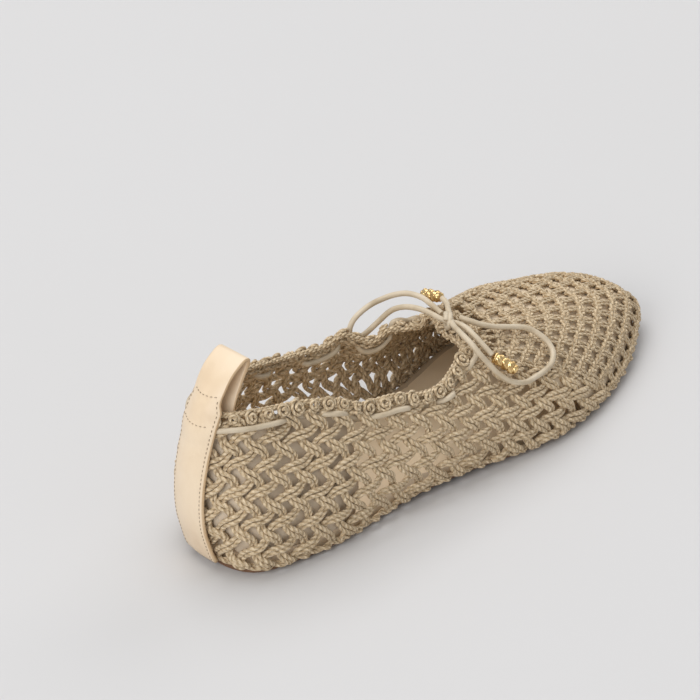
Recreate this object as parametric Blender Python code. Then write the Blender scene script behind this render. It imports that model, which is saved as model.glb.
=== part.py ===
"""Crochet flat, right shoe: a net upper on a thin leather sole, with a heel tab, a drawstring and its bow.

Lengths here are millimetres, turned into metres where meshes and curves are made.
+X points to the toe, +Y to the medial side and +Z up. The shoe stands on Z = 0.
"""
import math

import bmesh
import bpy
import numpy as np

MM = 0.001

# Driving sizes
GAP = 0.3                 # clearance of pieces that touch
SOLE_THICK = 3.0
SOLE_CHAMFER = 0.6
INSOLE_THICK = 2.0
INSOLE_FOOT_INSET = 4.4   # insole edge to sole edge, at its lower face
INSOLE_TOP_INSET = 3.4    # the same at its upper face, which follows the leaning wall
SEAT_INSET = 0.6          # foot of the upper to the sole edge
SEAT_WIDTH = 2.4          # flat foot of the upper
WALL = 2.4                # thickness of the net
CORD = 2.4                # diameter of the drawstring
CORD_LIFT = 0.55          # drawstring to upper
CORD_DROP = 6.5           # drawstring to collar edge, along the upper
TAB_WIDTH = 17.6
TAB_THICK = 1.5
TAB_LIFT = 0.5            # heel tab to upper

# Shape of the sole from the side
ARCH_RISE = 1.5
ARCH = (70.0, 100.0, 115.0, 145.0)    # X where the arch starts, is full, is still full and ends
TOE_SPRING = 4.0
TOE_SPRING_FROM = 188.0
TOE_SPRING_LENGTH = 57.0

# Ribs of the last, from the sole edge up to the collar, going round from heel by lateral side to toe
# swell and rise place the lower handle of the rib, out from its foot and up from it
# flare, drop and share place the upper handle: out from the collar, down from it, and towards the foot
RIB_COLUMNS = ("sole_x", "sole_y", "swell", "rise", "flare", "drop", "share",
               "collar_x", "collar_y", "collar_z")
RIBS = {
    "heel_back": (9.5, 0.0, 12.5, 12.5, 8.0, 20.0, 0.00, 7.0, 0.0, 65.0),
    "lateral_heel_corner": (13.0, -18.5, 13.5, 12.0, 8.0, 20.0, 0.00, 15.0, -11.0, 66.0),
    "lateral_heel_side": (36.5, -26.5, 12.5, 11.5, 9.0, 17.0, 0.00, 41.5, -17.0, 62.0),
    "lateral_waist": (85.5, -26.5, 12.0, 11.5, 9.0, 15.0, 0.00, 79.5, -24.0, 50.0),
    "lateral_shank": (128.0, -31.0, 12.5, 10.0, 8.0, 13.0, 0.15, 104.5, -26.5, 45.0),
    "lateral_ball": (161.0, -35.0, 11.5, 9.5, 5.0, 10.0, 0.40, 121.0, -20.0, 46.5),
    "lateral_toe_joint": (203.5, -25.5, 9.5, 11.0, 1.0, 11.0, 0.68, 129.5, -15.0, 46.5),
    "lateral_toe_corner": (228.5, -11.5, 9.5, 11.5, 0.0, 12.5, 0.78, 131.5, -10.0, 46.0),
    "toe_tip": (243.0, 3.0, 12.0, 11.0, 0.0, 14.0, 0.76, 133.0, -4.0, 45.0),
    "medial_toe_corner": (239.5, 20.5, 13.0, 11.5, 0.0, 13.0, 0.78, 134.5, 1.5, 45.0),
    "medial_toe_joint": (216.5, 31.5, 11.5, 11.0, 1.0, 10.0, 0.72, 136.5, 6.5, 47.0),
    "medial_ball": (177.0, 37.0, 12.0, 11.5, 3.0, 9.0, 0.52, 125.0, 15.0, 44.5),
    "medial_shank": (139.5, 28.5, 13.0, 12.0, 8.0, 13.5, 0.20, 108.5, 21.5, 44.5),
    "medial_waist": (95.5, 22.0, 12.5, 13.0, 9.0, 16.0, 0.00, 79.5, 25.0, 48.0),
    "medial_heel_side": (37.0, 26.0, 13.0, 11.0, 9.0, 17.0, 0.00, 38.0, 18.0, 60.0),
    "medial_heel_corner": (15.5, 15.0, 11.5, 12.5, 8.0, 19.0, 0.00, 16.5, 11.0, 65.5),
}

# Gathers of the collar where the drawstring pulls it in
# columns: turn round the shoe, half width in turns, lift
GATHERS = {
    "lateral_waist_dip": (0.146, 0.018, -2.0),
    "lateral_waist_crest": (0.190, 0.018, 1.0),
    "medial_shank_crest": (0.745, 0.016, 3.0),
    "medial_shank_dip": (0.700, 0.018, -3.0),
    "medial_corner_dip": (0.628, 0.018, -2.5),
    "medial_corner_crest": (0.588, 0.016, 1.0),
}

# The net: half meshes round the shoe and rows up it, with a rolled collar on its last row
# columns of the roll: row, outward and inward from the last
NET_COLUMNS = 104
NET_ROWS = 12
COLLAR_ROLL = ((11.4, 0.3, 2.6), (11.7, 1.2, 3.6), (12.0, 0.4, 2.8))
# Where the net is drawn thin in the tight medial corner of the throat: turn, half width in turns, share left,
# and the rows between which the thinning starts and is full
THIN_CORNER = (0.585, 0.032, 0.43)
THIN_ROWS = (6.0, 11.0)
# Meshes left open in the unlined waist: turns on each side, rows, and size as a share of a half mesh
OPEN_TURNS = ((0.198, 0.342), (0.658, 0.802))
OPEN_ROWS = (2, 9)
OPEN_WIDE = 0.50
OPEN_TALL = 0.56

# Heel tab up the heel, over the drawstring
# columns: height as a share of the rib, lift
TAB_RISE = ((0.07, 0.0), (0.16, 0.0), (0.28, 0.0), (0.40, 0.0), (0.52, 0.0), (0.64, 0.0), (0.74, 0.0),
            (0.81, 0.3), (0.855, 2.3), (0.897, 3.4), (0.94, 2.9), (0.975, 2.1), (1.0, 1.5))
# Pull loop over the collar and down inside it
# columns: ahead of the collar at the heel, above it, and how far it follows the heel's curve
LOOP = ((0.0, 4.0, 0.9), (3.4, 8.5, 0.6), (8.0, 13.2, 0.3), (13.3, 16.6, 0.1), (16.4, 17.7, 0.0),
        (17.9, 17.0, 0.0), (17.4, 15.2, 0.0), (14.8, 11.5, 0.15), (11.6, 7.0, 0.4), (8.9, 3.0, 0.65),
        (7.2, -1.0, 0.8), (6.8, -3.5, 0.8), (6.4, -7.0, 0.8), (6.2, -11.0, 0.8))
TAB_ACROSS = 5

# The bow, on the throat: its knot and the routes of its cords
KNOT_CENTRE = (135.5, -2.0, 49.2)
KNOT_RADII = (4.0, 3.5, 3.0)
LATERAL_LOOP = ((140.2, -3.5, 49.2), (142.0, -7.4, 48.6), (144.6, -10.6, 47.2), (149.4, -12.9, 45.2),
                (154.9, -14.8, 43.6), (160.2, -16.9, 42.0), (163.6, -19.2, 40.3), (165.5, -22.4, 38.2),
                (166.4, -25.4, 35.9), (165.4, -28.6, 33.7), (161.4, -31.6, 31.9), (156.4, -33.0, 31.5),
                (150.4, -33.7, 31.5), (144.3, -34.0, 31.9), (138.2, -32.9, 34.4), (133.7, -30.3, 38.5),
                (130.8, -27.4, 43.2), (128.4, -24.9, 47.6), (127.8, -20.8, 50.8), (129.8, -13.6, 51.4),
                (133.4, -6.4, 50.2))
MEDIAL_LOOP = ((136.4, 2.3, 50.1), (136.9, 5.4, 50.6), (137.5, 9.0, 51.0), (138.4, 15.0, 51.2),
               (136.4, 20.4, 51.5), (133.0, 24.0, 50.8), (129.0, 26.0, 50.0), (123.5, 27.4, 49.0),
               (118.0, 28.0, 47.2), (114.8, 28.2, 45.2), (113.2, 28.4, 42.0), (114.0, 28.5, 38.8),
               (116.8, 28.5, 36.8), (120.8, 28.0, 36.8), (126.0, 26.8, 39.8), (130.0, 23.2, 45.2),
               (131.4, 17.6, 48.8), (132.2, 11.0, 50.6), (133.0, 5.2, 50.6), (133.3, 2.1, 50.2))
LATERAL_END = ((136.2, -6.2, 49.5), (134.8, -12.0, 50.6), (133.2, -17.5, 50.4), (133.5, -22.0, 47.8),
               (134.6, -25.6, 44.6))
MEDIAL_END = ((138.8, 0.9, 50.4), (141.6, 4.6, 51.4), (143.0, 8.4, 51.6))
# start of each end cap, and a point that it aims at
LATERAL_CAP = ((134.9, -26.1, 44.0), (141.5, -33.4, 37.3))
MEDIAL_CAP = ((143.2, 9.2, 51.6), (144.0, 19.2, 48.6))
# Turned profile of an end cap
# columns: place along it, radius
CAP_PROFILE = ((0.0, 1.4), (0.5, 1.9), (3.0, 1.9), (3.6, 1.5), (4.2, 2.0), (6.8, 2.0), (7.4, 1.5),
               (8.0, 1.9), (10.4, 1.9), (11.0, 1.2))
CAP_SIDES = 12

SOLE_STATIONS = 36
ROUTE_SPACING = 2.4       # bow cord points, in cord diameters
DRAWSTRING_POINTS = 76
CORD_ROUND = 2            # bevel resolution of a cord
RIB_SAMPLES = 97
GIRTH_SAMPLES = 2001
EDGE_REACH = 2.0          # along the sole edge to each side, for its outward direction
NORMAL_REACH = 0.01       # in turns and heights, for the last's normals
HEEL_REACH = 0.06         # turns to each side of the heel's centre line
HEEL_SAMPLES = 121
COLLAR_SAMPLES = 360
ROUTE_SAMPLES = 40        # for each point of a cord's route
KNOT_SEGMENTS = 12
KNOT_RINGS = 8
SHARP_EDGE = math.radians(40)

# Colours are linear RGB, with roughness and metallic value
MATERIALS = {
    "linen_yarn": ((0.52, 0.42, 0.28), 0.85, 0.0),
    "natural_leather": ((0.80, 0.62, 0.42), 0.45, 0.0),
    "cream_cord": ((0.66, 0.56, 0.40), 0.5, 0.0),
    "insole_leather": ((0.50, 0.36, 0.24), 0.5, 0.0),
    "sole_leather": ((0.26, 0.14, 0.08), 0.6, 0.0),
    "gold": ((0.85, 0.58, 0.22), 0.2, 1.0),
}


def rib_table():
    """The ribs as an array, a row for each rib."""
    return np.array(list(RIBS.values()))


def column(name):
    """Index of a column of the rib table."""
    return RIB_COLUMNS.index(name)


def smooth_step(start, end, at):
    share = np.clip((at - start) / (end - start), 0.0, 1.0)
    return share * share * (3.0 - 2.0 * share)


def sole_rise(x):
    """Height of the sole's lower face: flat heel and forefoot, a low arch and a toe spring."""
    arch = ARCH_RISE * smooth_step(ARCH[0], ARCH[1], x) * (1.0 - smooth_step(ARCH[2], ARCH[3], x))
    toe = TOE_SPRING * np.clip((x - TOE_SPRING_FROM) / TOE_SPRING_LENGTH, 0.0, None) ** 2
    return arch + toe


def closed_spline(knots, values, at):
    """Smooth periodic curve through the rows of values."""
    count = len(values)
    at = np.mod(at, knots[-1])
    index = np.clip(np.searchsorted(knots, at, side="right") - 1, 0, count - 1)
    step = np.diff(knots)
    ring = np.vstack([values, values[:1]])
    slope = np.diff(ring, axis=0) / step[:, None]
    step_before = np.roll(step, 1)
    slope_before = np.roll(slope, 1, axis=0)
    tangent = (step_before[:, None] * slope + step[:, None] * slope_before) / (step + step_before)[:, None]
    tangent = np.vstack([tangent, tangent[:1]])
    s = ((at - knots[index]) / step[index])[:, None]
    wide = step[index][:, None]
    from_start = (2 * s**3 - 3 * s**2 + 1) * ring[index] + (s**3 - 2 * s**2 + s) * wide * tangent[index]
    to_end = (3 * s**2 - 2 * s**3) * ring[index + 1] + (s**3 - s**2) * wide * tangent[index + 1]
    return from_start + to_end


def girth():
    """Knots of the rib table round the sole edge, and a map from turns (0 to 1) to them by length."""
    table = rib_table()
    edge = table[:, :2]
    chords = np.linalg.norm(np.roll(edge, -1, axis=0) - edge, axis=1)
    knots = np.concatenate([[0.0], np.cumsum(chords)])
    samples = np.linspace(0.0, knots[-1], GIRTH_SAMPLES)
    points = closed_spline(knots, table, samples)[:, :2]
    lengths = np.concatenate([[0.0], np.cumsum(np.linalg.norm(np.diff(points, axis=0), axis=1))])
    return table, knots, samples, lengths


def ribs_at(turns):
    """Rib values, sole edge points and outward directions in plan at the given turns."""
    table, knots, samples, lengths = girth()
    at = np.interp(np.mod(turns, 1.0) * lengths[-1], lengths, samples)
    rows = closed_spline(knots, table, at)
    ahead = closed_spline(knots, table, at + EDGE_REACH)[:, :2]
    behind = closed_spline(knots, table, at - EDGE_REACH)[:, :2]
    along = (ahead - behind) / np.linalg.norm(ahead - behind, axis=1)[:, None]
    outward = np.column_stack([along[:, 1], -along[:, 0], np.zeros(len(along))])
    return rows, outward


def gathered(turns):
    """Lift of the collar by its gathers."""
    lift = np.zeros(len(turns))
    for turn, half_width, height in GATHERS.values():
        away = (np.mod(turns - turn + 0.5, 1.0) - 0.5) / half_width
        lift += height * np.exp(-away * away)
    return lift


def last_points(turns, heights):
    """Points of the last on a grid: a row for each height (0 sole, 1 collar), a column for each turn.

    heights may be a list for all ribs or an array with a column for each of them.
    """
    turns = np.asarray(turns, float)
    rows, outward = ribs_at(turns)
    up = np.array([0.0, 0.0, 1.0])
    foot = np.column_stack([rows[:, 0], rows[:, 1], SOLE_THICK + GAP + sole_rise(rows[:, 0])])
    foot = foot - outward * SEAT_INSET
    collar = rows[:, column("collar_x"):column("collar_z") + 1] + gathered(turns)[:, None] * up
    low = foot + outward * rows[:, [column("swell")]] + up * rows[:, [column("rise")]]
    run = (foot - collar) * np.array([1.0, 1.0, 0.0])
    high = collar + outward * rows[:, [column("flare")]] + run * rows[:, [column("share")]]
    high = high - up * rows[:, [column("drop")]]
    t = np.linspace(0.0, 1.0, RIB_SAMPLES)[:, None, None]
    curve = (1 - t)**3 * foot + 3 * (1 - t)**2 * t * low + 3 * (1 - t) * t**2 * high + t**3 * collar
    pieces = np.linalg.norm(np.diff(curve, axis=0), axis=2)
    length = np.vstack([np.zeros(len(turns)), np.cumsum(pieces, axis=0)])
    heights = np.asarray(heights, float)
    if heights.ndim == 1:
        heights = np.repeat(heights[:, None], len(turns), axis=1)
    points = np.zeros(heights.shape + (3,))
    for rib in range(len(turns)):
        wanted = heights[:, rib] * length[-1, rib]
        for axis in range(3):
            points[:, rib, axis] = np.interp(wanted, length[:, rib], curve[:, rib, axis])
    return points


def last_normals(turns, heights):
    """Outward normals of the last on the same grid."""
    turns = np.asarray(turns, float)
    heights = np.asarray(heights, float)
    across = last_points(turns + NORMAL_REACH / 2, heights) - last_points(turns - NORMAL_REACH / 2, heights)
    high = np.clip(heights + NORMAL_REACH, 0.0, 1.0)
    low = np.clip(heights - NORMAL_REACH, 0.0, 1.0)
    upward = last_points(turns, high) - last_points(turns, low)
    normal = np.cross(across, upward)
    return normal / np.linalg.norm(normal, axis=2)[:, :, None]


def new_object(name, data, material, parent):
    """An object with its material, under the shoe's empty."""
    data.materials.append(material)
    thing = bpy.data.objects.new(name, data)
    bpy.context.collection.objects.link(thing)
    thing.parent = parent
    return thing


def mesh_from(name, vertices, faces):
    """A closed triangle mesh in metres with its faces pointing out."""
    mesh = bpy.data.meshes.new(name)
    mesh.from_pydata([tuple(np.asarray(point, float) * MM) for point in vertices], [], faces)
    shape = bmesh.new()
    shape.from_mesh(mesh)
    bmesh.ops.triangulate(shape, faces=shape.faces[:])
    bmesh.ops.recalc_face_normals(shape, faces=shape.faces[:])
    shape.to_mesh(mesh)
    shape.free()
    mesh.shade_smooth()
    mesh.set_sharp_from_angle(angle=SHARP_EDGE)
    return mesh


def is_open(row, col):
    """Whether the net has an open mesh at this crossing of the grid."""
    if (row + col) % 2 == 0 or not OPEN_ROWS[0] <= row <= OPEN_ROWS[1]:
        return False
    turn = (col % NET_COLUMNS) / NET_COLUMNS
    return any(first <= turn <= last for first, last in OPEN_TURNS)


def upper_skins():
    """Outer and inner points of the net wall, a row for each net row and roll row."""
    wall = [(row, 0.0, WALL) for row in range(NET_ROWS)] + list(COLLAR_ROLL)
    turns = np.arange(NET_COLUMNS) / NET_COLUMNS
    heights = np.array([row for row, _, _ in wall]) / NET_ROWS
    points = last_points(turns, heights)
    normals = last_normals(turns, heights)
    outer = points + normals * np.array([out for _, out, _ in wall])[:, None, None]
    turn, half_width, share = THIN_CORNER
    corner = np.exp(-((turns - turn) / half_width) ** 2)
    thinned = 1.0 - (1.0 - share) * np.outer(smooth_step(*THIN_ROWS, heights * NET_ROWS), corner)
    inward = thinned * np.array([inward for _, _, inward in wall])[:, None]
    inner = points - normals * inward[:, :, None]
    _, outward = ribs_at(turns)
    inner[0] = points[0] - outward * SEAT_WIDTH
    return outer, inner


def upper_mesh():
    """The net wall with its open meshes, flat foot and rolled collar."""
    skins = upper_skins()
    last_row = len(skins[0]) - 1
    vertices = []
    index = {}

    def vertex(key, point):
        if key not in index:
            index[key] = len(vertices)
            vertices.append(point)
        return index[key]

    def grid_vertex(skin, row, col):
        col = col % NET_COLUMNS
        return vertex((skin, row, col), skins[skin][row, col])

    def cut_vertex(skin, hole, toward):
        row, col = hole[0], hole[1] % NET_COLUMNS
        share = OPEN_WIDE if toward[0] == row else OPEN_TALL
        start = skins[skin][row, col]
        end = skins[skin][toward[0], toward[1] % NET_COLUMNS]
        return vertex((skin, row, col, toward[0], toward[1] % NET_COLUMNS), start + share * (end - start))

    def cell(skin, row, col):
        corners = [(row, col), (row, col + 1), (row + 1, col + 1), (row + 1, col)]
        ring = []
        for place, corner in enumerate(corners):
            if is_open(*corner):
                ring.append(cut_vertex(skin, corner, corners[place - 1]))
                ring.append(cut_vertex(skin, corner, corners[(place + 1) % 4]))
            else:
                ring.append(grid_vertex(skin, *corner))
        return ring

    faces = []
    for row in range(last_row):
        for col in range(NET_COLUMNS):
            faces.append(cell(0, row, col))
            faces.append(cell(1, row, col)[::-1])
    for row in range(last_row):
        for col in range(NET_COLUMNS):
            if is_open(row, col):
                around = [(row, col + 1), (row + 1, col), (row, col - 1), (row - 1, col)]
                for side in range(4):
                    first, second = around[side - 1], around[side]
                    faces.append([cut_vertex(0, (row, col), first), cut_vertex(0, (row, col), second),
                                  cut_vertex(1, (row, col), second), cut_vertex(1, (row, col), first)])
    for row in (0, last_row):
        for col in range(NET_COLUMNS):
            faces.append([grid_vertex(0, row, col), grid_vertex(0, row, col + 1),
                          grid_vertex(1, row, col + 1), grid_vertex(1, row, col)])
    return mesh_from("upper", vertices, faces)


def sole_edge(inset):
    """Lateral and medial sides of the sole outline moved inward, as Y at stations of X."""
    turns = np.linspace(0.0, 1.0, GIRTH_SAMPLES)[:-1]
    rows, outward = ribs_at(turns)
    edge = rows[:, :2] - outward[:, :2] * inset
    back, front = np.argmin(edge[:, 0]), np.argmax(edge[:, 0])
    ring = np.roll(edge, -back, axis=0)
    tip = (front - back) % len(edge)
    lateral = ring[:tip + 1]
    medial = np.vstack([ring[tip:], ring[:1]])[::-1]
    return lateral, medial


def plate_mesh(name, levels):
    """A curved plate from levels of (height over the sole's lower face, inset), lowest first."""
    spread = (1.0 - np.cos(np.linspace(0.0, math.pi, SOLE_STATIONS))) / 2.0
    end_margin = 0.0015
    spread = end_margin + spread * (1.0 - 2.0 * end_margin)
    vertices = []
    ring_size = 2 * len(levels)
    edges = [sole_edge(inset) for _, inset in levels]
    for station in spread:
        ring = []
        for (height, _), (lateral, medial) in zip(levels, edges):
            x = lateral[0, 0] + station * (lateral[-1, 0] - lateral[0, 0])
            z = height + sole_rise(x)
            ring.append((np.interp(x, lateral[:, 0], lateral[:, 1]), x, z))
            ring.append((np.interp(x, medial[:, 0], medial[:, 1]), x, z))
        up_lateral = ring[0::2]
        down_medial = ring[1::2][::-1]
        vertices += [(x, y, z) for y, x, z in up_lateral + down_medial]
    faces = []
    for station in range(SOLE_STATIONS - 1):
        start = station * ring_size
        for place in range(ring_size):
            after = (place + 1) % ring_size
            faces.append([start + place, start + after, start + ring_size + after, start + ring_size + place])
    faces.append(list(range(ring_size)))
    faces.append(list(range(len(vertices) - ring_size, len(vertices))))
    return mesh_from(name, vertices, faces)


def thick_sheet(name, grid, thick):
    """A strip of even thickness about a grid of middle points."""
    along = np.gradient(grid, axis=0)
    across = np.gradient(grid, axis=1)
    normal = np.cross(along, across)
    normal = normal / np.linalg.norm(normal, axis=2)[:, :, None]
    rows, cols = grid.shape[:2]
    sides = [grid + normal * thick / 2, grid - normal * thick / 2]
    vertices = np.concatenate([side.reshape(-1, 3) for side in sides])

    def at(side, row, col):
        return side * rows * cols + row * cols + col

    faces = []
    for row in range(rows - 1):
        for col in range(cols - 1):
            for side in (0, 1):
                faces.append([at(side, row, col), at(side, row, col + 1),
                              at(side, row + 1, col + 1), at(side, row + 1, col)])
    for row in range(rows - 1):
        for col in (0, cols - 1):
            faces.append([at(0, row, col), at(0, row + 1, col), at(1, row + 1, col), at(1, row, col)])
    for col in range(cols - 1):
        for row in (0, rows - 1):
            faces.append([at(0, row, col), at(0, row, col + 1), at(1, row, col + 1), at(1, row, col)])
    return mesh_from(name, vertices, faces)


def across_heel(height, offsets):
    """Points and normals on the heel at one height, at distances across it from its centre line."""
    turns = np.linspace(-HEEL_REACH, HEEL_REACH, HEEL_SAMPLES)
    points = last_points(turns, [height])[0]
    normals = last_normals(turns, [height])[0]
    steps = np.linalg.norm(np.diff(points, axis=0), axis=1)
    distance = np.concatenate([[0.0], np.cumsum(steps)])
    distance = distance - np.interp(0.0, turns, distance)
    place = np.column_stack([np.interp(offsets, distance, points[:, axis]) for axis in range(3)])
    normal = np.column_stack([np.interp(offsets, distance, normals[:, axis]) for axis in range(3)])
    return place, normal / np.linalg.norm(normal, axis=1)[:, None]


def heel_tab_grid():
    """Middle points of the heel tab, from the sole up the heel, round the loop and down inside."""
    offsets = np.linspace(-TAB_WIDTH / 2, TAB_WIDTH / 2, TAB_ACROSS)
    rows = []
    for height, lift in TAB_RISE:
        place, normal = across_heel(height, offsets)
        rows.append(place + normal * (TAB_LIFT + TAB_THICK / 2 + lift))
    collar, _ = across_heel(1.0, offsets)
    centre = collar[TAB_ACROSS // 2]
    for ahead, above, curve in LOOP:
        x = centre[0] + ahead + curve * (collar[:, 0] - centre[0])
        z = centre[2] + above + curve * (collar[:, 2] - centre[2])
        rows.append(np.column_stack([x, collar[:, 1], z]))
    return np.array(rows)


def smooth_route(points, spacing):
    """Evenly spaced points on a smooth curve through a route's own points."""
    points = np.array(points, float)
    knots = np.concatenate([[0.0], np.cumsum(np.linalg.norm(np.diff(points, axis=0), axis=1) ** 0.5)])
    ends = [2 * points[0] - points[1], 2 * points[-1] - points[-2]]
    padded = np.vstack([ends[0], points, ends[1]])
    padded_knots = np.concatenate([[2 * knots[0] - knots[1]], knots, [2 * knots[-1] - knots[-2]]])
    tangent = (padded[2:] - padded[:-2]) / (padded_knots[2:] - padded_knots[:-2])[:, None]
    fine = np.linspace(0.0, knots[-1], ROUTE_SAMPLES * len(points))
    index = np.clip(np.searchsorted(knots, fine, side="right") - 1, 0, len(points) - 2)
    wide = (knots[index + 1] - knots[index])[:, None]
    s = (fine - knots[index])[:, None] / wide
    curve = (2 * s**3 - 3 * s**2 + 1) * points[index] + (s**3 - 2 * s**2 + s) * wide * tangent[index]
    curve += (3 * s**2 - 2 * s**3) * points[index + 1] + (s**3 - s**2) * wide * tangent[index + 1]
    length = np.concatenate([[0.0], np.cumsum(np.linalg.norm(np.diff(curve, axis=0), axis=1))])
    count = max(3, int(round(length[-1] / spacing)) + 1)
    wanted = np.linspace(0.0, length[-1], count)
    return np.column_stack([np.interp(wanted, length, curve[:, axis]) for axis in range(3)])


def cord_curve(name, points, closed=False):
    """A round cord along the points, with filled ends."""
    curve = bpy.data.curves.new(name, "CURVE")
    curve.dimensions = "3D"
    curve.bevel_depth = CORD / 2 * MM
    curve.bevel_resolution = CORD_ROUND
    curve.use_fill_caps = not closed
    spline = curve.splines.new("POLY")
    spline.points.add(len(points) - 1)
    for point, place in zip(spline.points, points):
        point.co = (*(place * MM), 1.0)
    spline.use_cyclic_u = closed
    return curve


def drawstring_points():
    """The drawstring's line round the outside of the collar."""
    fine = np.arange(COLLAR_SAMPLES) / COLLAR_SAMPLES
    ribs = last_points(fine, np.linspace(0.0, 1.0, RIB_SAMPLES))
    rib_length = np.linalg.norm(np.diff(ribs, axis=0), axis=2).sum(axis=0)
    heights = (1.0 - CORD_DROP / rib_length)[None, :]
    line = last_points(fine, heights)[0] + last_normals(fine, heights)[0] * (CORD_LIFT + CORD / 2)
    ring = np.vstack([line, line[:1]])
    length = np.concatenate([[0.0], np.cumsum(np.linalg.norm(np.diff(ring, axis=0), axis=1))])
    wanted = np.linspace(0.0, length[-1], DRAWSTRING_POINTS + 1)[:-1]
    return np.column_stack([np.interp(wanted, length, ring[:, axis]) for axis in range(3)])


def knot_mesh():
    """The knot of the bow, a rounded lump."""
    mesh = bpy.data.meshes.new("bow_knot")
    shape = bmesh.new()
    bmesh.ops.create_uvsphere(shape, u_segments=KNOT_SEGMENTS, v_segments=KNOT_RINGS, radius=MM)
    bmesh.ops.scale(shape, vec=KNOT_RADII, verts=shape.verts)
    bmesh.ops.translate(shape, vec=[value * MM for value in KNOT_CENTRE], verts=shape.verts)
    shape.to_mesh(mesh)
    shape.free()
    mesh.shade_smooth()
    return mesh


def cap_mesh(name, start, aim):
    """A turned end cap from its start towards a point."""
    start = np.array(start)
    axis = np.array(aim) - start
    axis = axis / np.linalg.norm(axis)
    side = np.cross(axis, (0.0, 0.0, 1.0))
    side = side / np.linalg.norm(side)
    rise = np.cross(side, axis)
    angles = np.linspace(0.0, 2 * math.pi, CAP_SIDES, endpoint=False)
    vertices = []
    for along, radius in CAP_PROFILE:
        for angle in angles:
            vertices.append(start + axis * along + radius * (math.cos(angle) * side + math.sin(angle) * rise))
    faces = [list(range(CAP_SIDES)), list(range(len(vertices) - CAP_SIDES, len(vertices)))]
    for ring in range(len(CAP_PROFILE) - 1):
        for place in range(CAP_SIDES):
            after = (place + 1) % CAP_SIDES
            low, high = ring * CAP_SIDES, (ring + 1) * CAP_SIDES
            faces.append([low + place, low + after, high + after, high + place])
    return mesh_from(name, vertices, faces)


def make_materials():
    """One Principled material for each finish."""
    made = {}
    for name, (colour, roughness, metallic) in MATERIALS.items():
        material = bpy.data.materials.new(name)
        material.use_nodes = True
        shader = material.node_tree.nodes["Principled BSDF"]
        shader.inputs["Base Color"].default_value = (*colour, 1.0)
        shader.inputs["Roughness"].default_value = roughness
        shader.inputs["Metallic"].default_value = metallic
        made[name] = material
    return made


def shoe_centre(*meshes):
    """Middle of the meshes' box in plan, which becomes the origin."""
    points = np.array([vertex.co[:] for mesh in meshes for vertex in mesh.vertices])
    low, high = points.min(axis=0), points.max(axis=0)
    return (low + high) / 2


def main():
    for thing in list(bpy.data.objects):
        bpy.data.objects.remove(thing, do_unlink=True)
    finish = make_materials()

    upper = upper_mesh()
    heel_tab = thick_sheet("heel_tab", heel_tab_grid(), TAB_THICK)
    outsole = plate_mesh("outsole", [(0.0, SOLE_CHAMFER), (SOLE_CHAMFER, 0.0), (SOLE_THICK, 0.0)])
    insole_foot = SOLE_THICK + GAP
    insole = plate_mesh("insole", [(insole_foot, INSOLE_FOOT_INSET),
                                   (insole_foot + INSOLE_THICK, INSOLE_TOP_INSET)])

    shoe = bpy.data.objects.new("crochet_flat", None)
    bpy.context.collection.objects.link(shoe)
    middle = shoe_centre(upper, heel_tab)
    shoe.location = (-middle[0], -middle[1], 0.0)

    new_object("outsole", outsole, finish["sole_leather"], shoe)
    new_object("insole", insole, finish["insole_leather"], shoe)
    new_object("upper", upper, finish["linen_yarn"], shoe)
    new_object("heel_tab", heel_tab, finish["natural_leather"], shoe)
    new_object("drawstring", cord_curve("drawstring", drawstring_points(), True), finish["cream_cord"], shoe)
    new_object("bow_knot", knot_mesh(), finish["cream_cord"], shoe)

    spacing = ROUTE_SPACING * CORD
    routes = {"bow_loop_lateral": LATERAL_LOOP, "bow_loop_medial": MEDIAL_LOOP,
              "cord_end_lateral": LATERAL_END, "cord_end_medial": MEDIAL_END}
    for name, route in routes.items():
        new_object(name, cord_curve(name, smooth_route(route, spacing)), finish["cream_cord"], shoe)
    caps = {"end_cap_lateral": LATERAL_CAP, "end_cap_medial": MEDIAL_CAP}
    for name, (start, aim) in caps.items():
        new_object(name, cap_mesh(name, start, aim), finish["gold"], shoe)


main()
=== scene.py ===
"""Looks of the crochet flat, a right shoe: yarn net, leather, cord, gold caps, floor, light and camera.

Lengths are millimetres on the shoe's own last, turned into metres of the frame where meshes are made.
+X points to the toe, +Y to the medial side and +Z up. A turn goes once round the shoe, from the heel (0)
by the lateral side to the toe (about 0.5) and back by the medial side. A height goes up the shoe's upper,
from the sole (0) to the collar (1).
"""
import math

import bpy
import numpy as np
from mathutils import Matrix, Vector


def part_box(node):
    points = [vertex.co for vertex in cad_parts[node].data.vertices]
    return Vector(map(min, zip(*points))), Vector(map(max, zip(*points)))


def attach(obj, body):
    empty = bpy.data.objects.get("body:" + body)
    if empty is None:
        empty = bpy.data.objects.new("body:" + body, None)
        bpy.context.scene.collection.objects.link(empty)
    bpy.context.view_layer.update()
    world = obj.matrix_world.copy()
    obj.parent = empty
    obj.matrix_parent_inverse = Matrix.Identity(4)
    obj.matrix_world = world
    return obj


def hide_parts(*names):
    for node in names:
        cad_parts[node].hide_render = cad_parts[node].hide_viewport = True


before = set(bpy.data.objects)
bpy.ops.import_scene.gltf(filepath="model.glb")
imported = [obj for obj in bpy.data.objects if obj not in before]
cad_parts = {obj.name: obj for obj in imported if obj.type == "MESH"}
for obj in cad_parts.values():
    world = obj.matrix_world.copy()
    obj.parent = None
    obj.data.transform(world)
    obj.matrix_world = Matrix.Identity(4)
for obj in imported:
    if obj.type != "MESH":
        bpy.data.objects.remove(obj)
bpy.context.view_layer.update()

MM = 0.001
BODY = "root"
UP = np.array([0.0, 0.0, 1.0])

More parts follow.
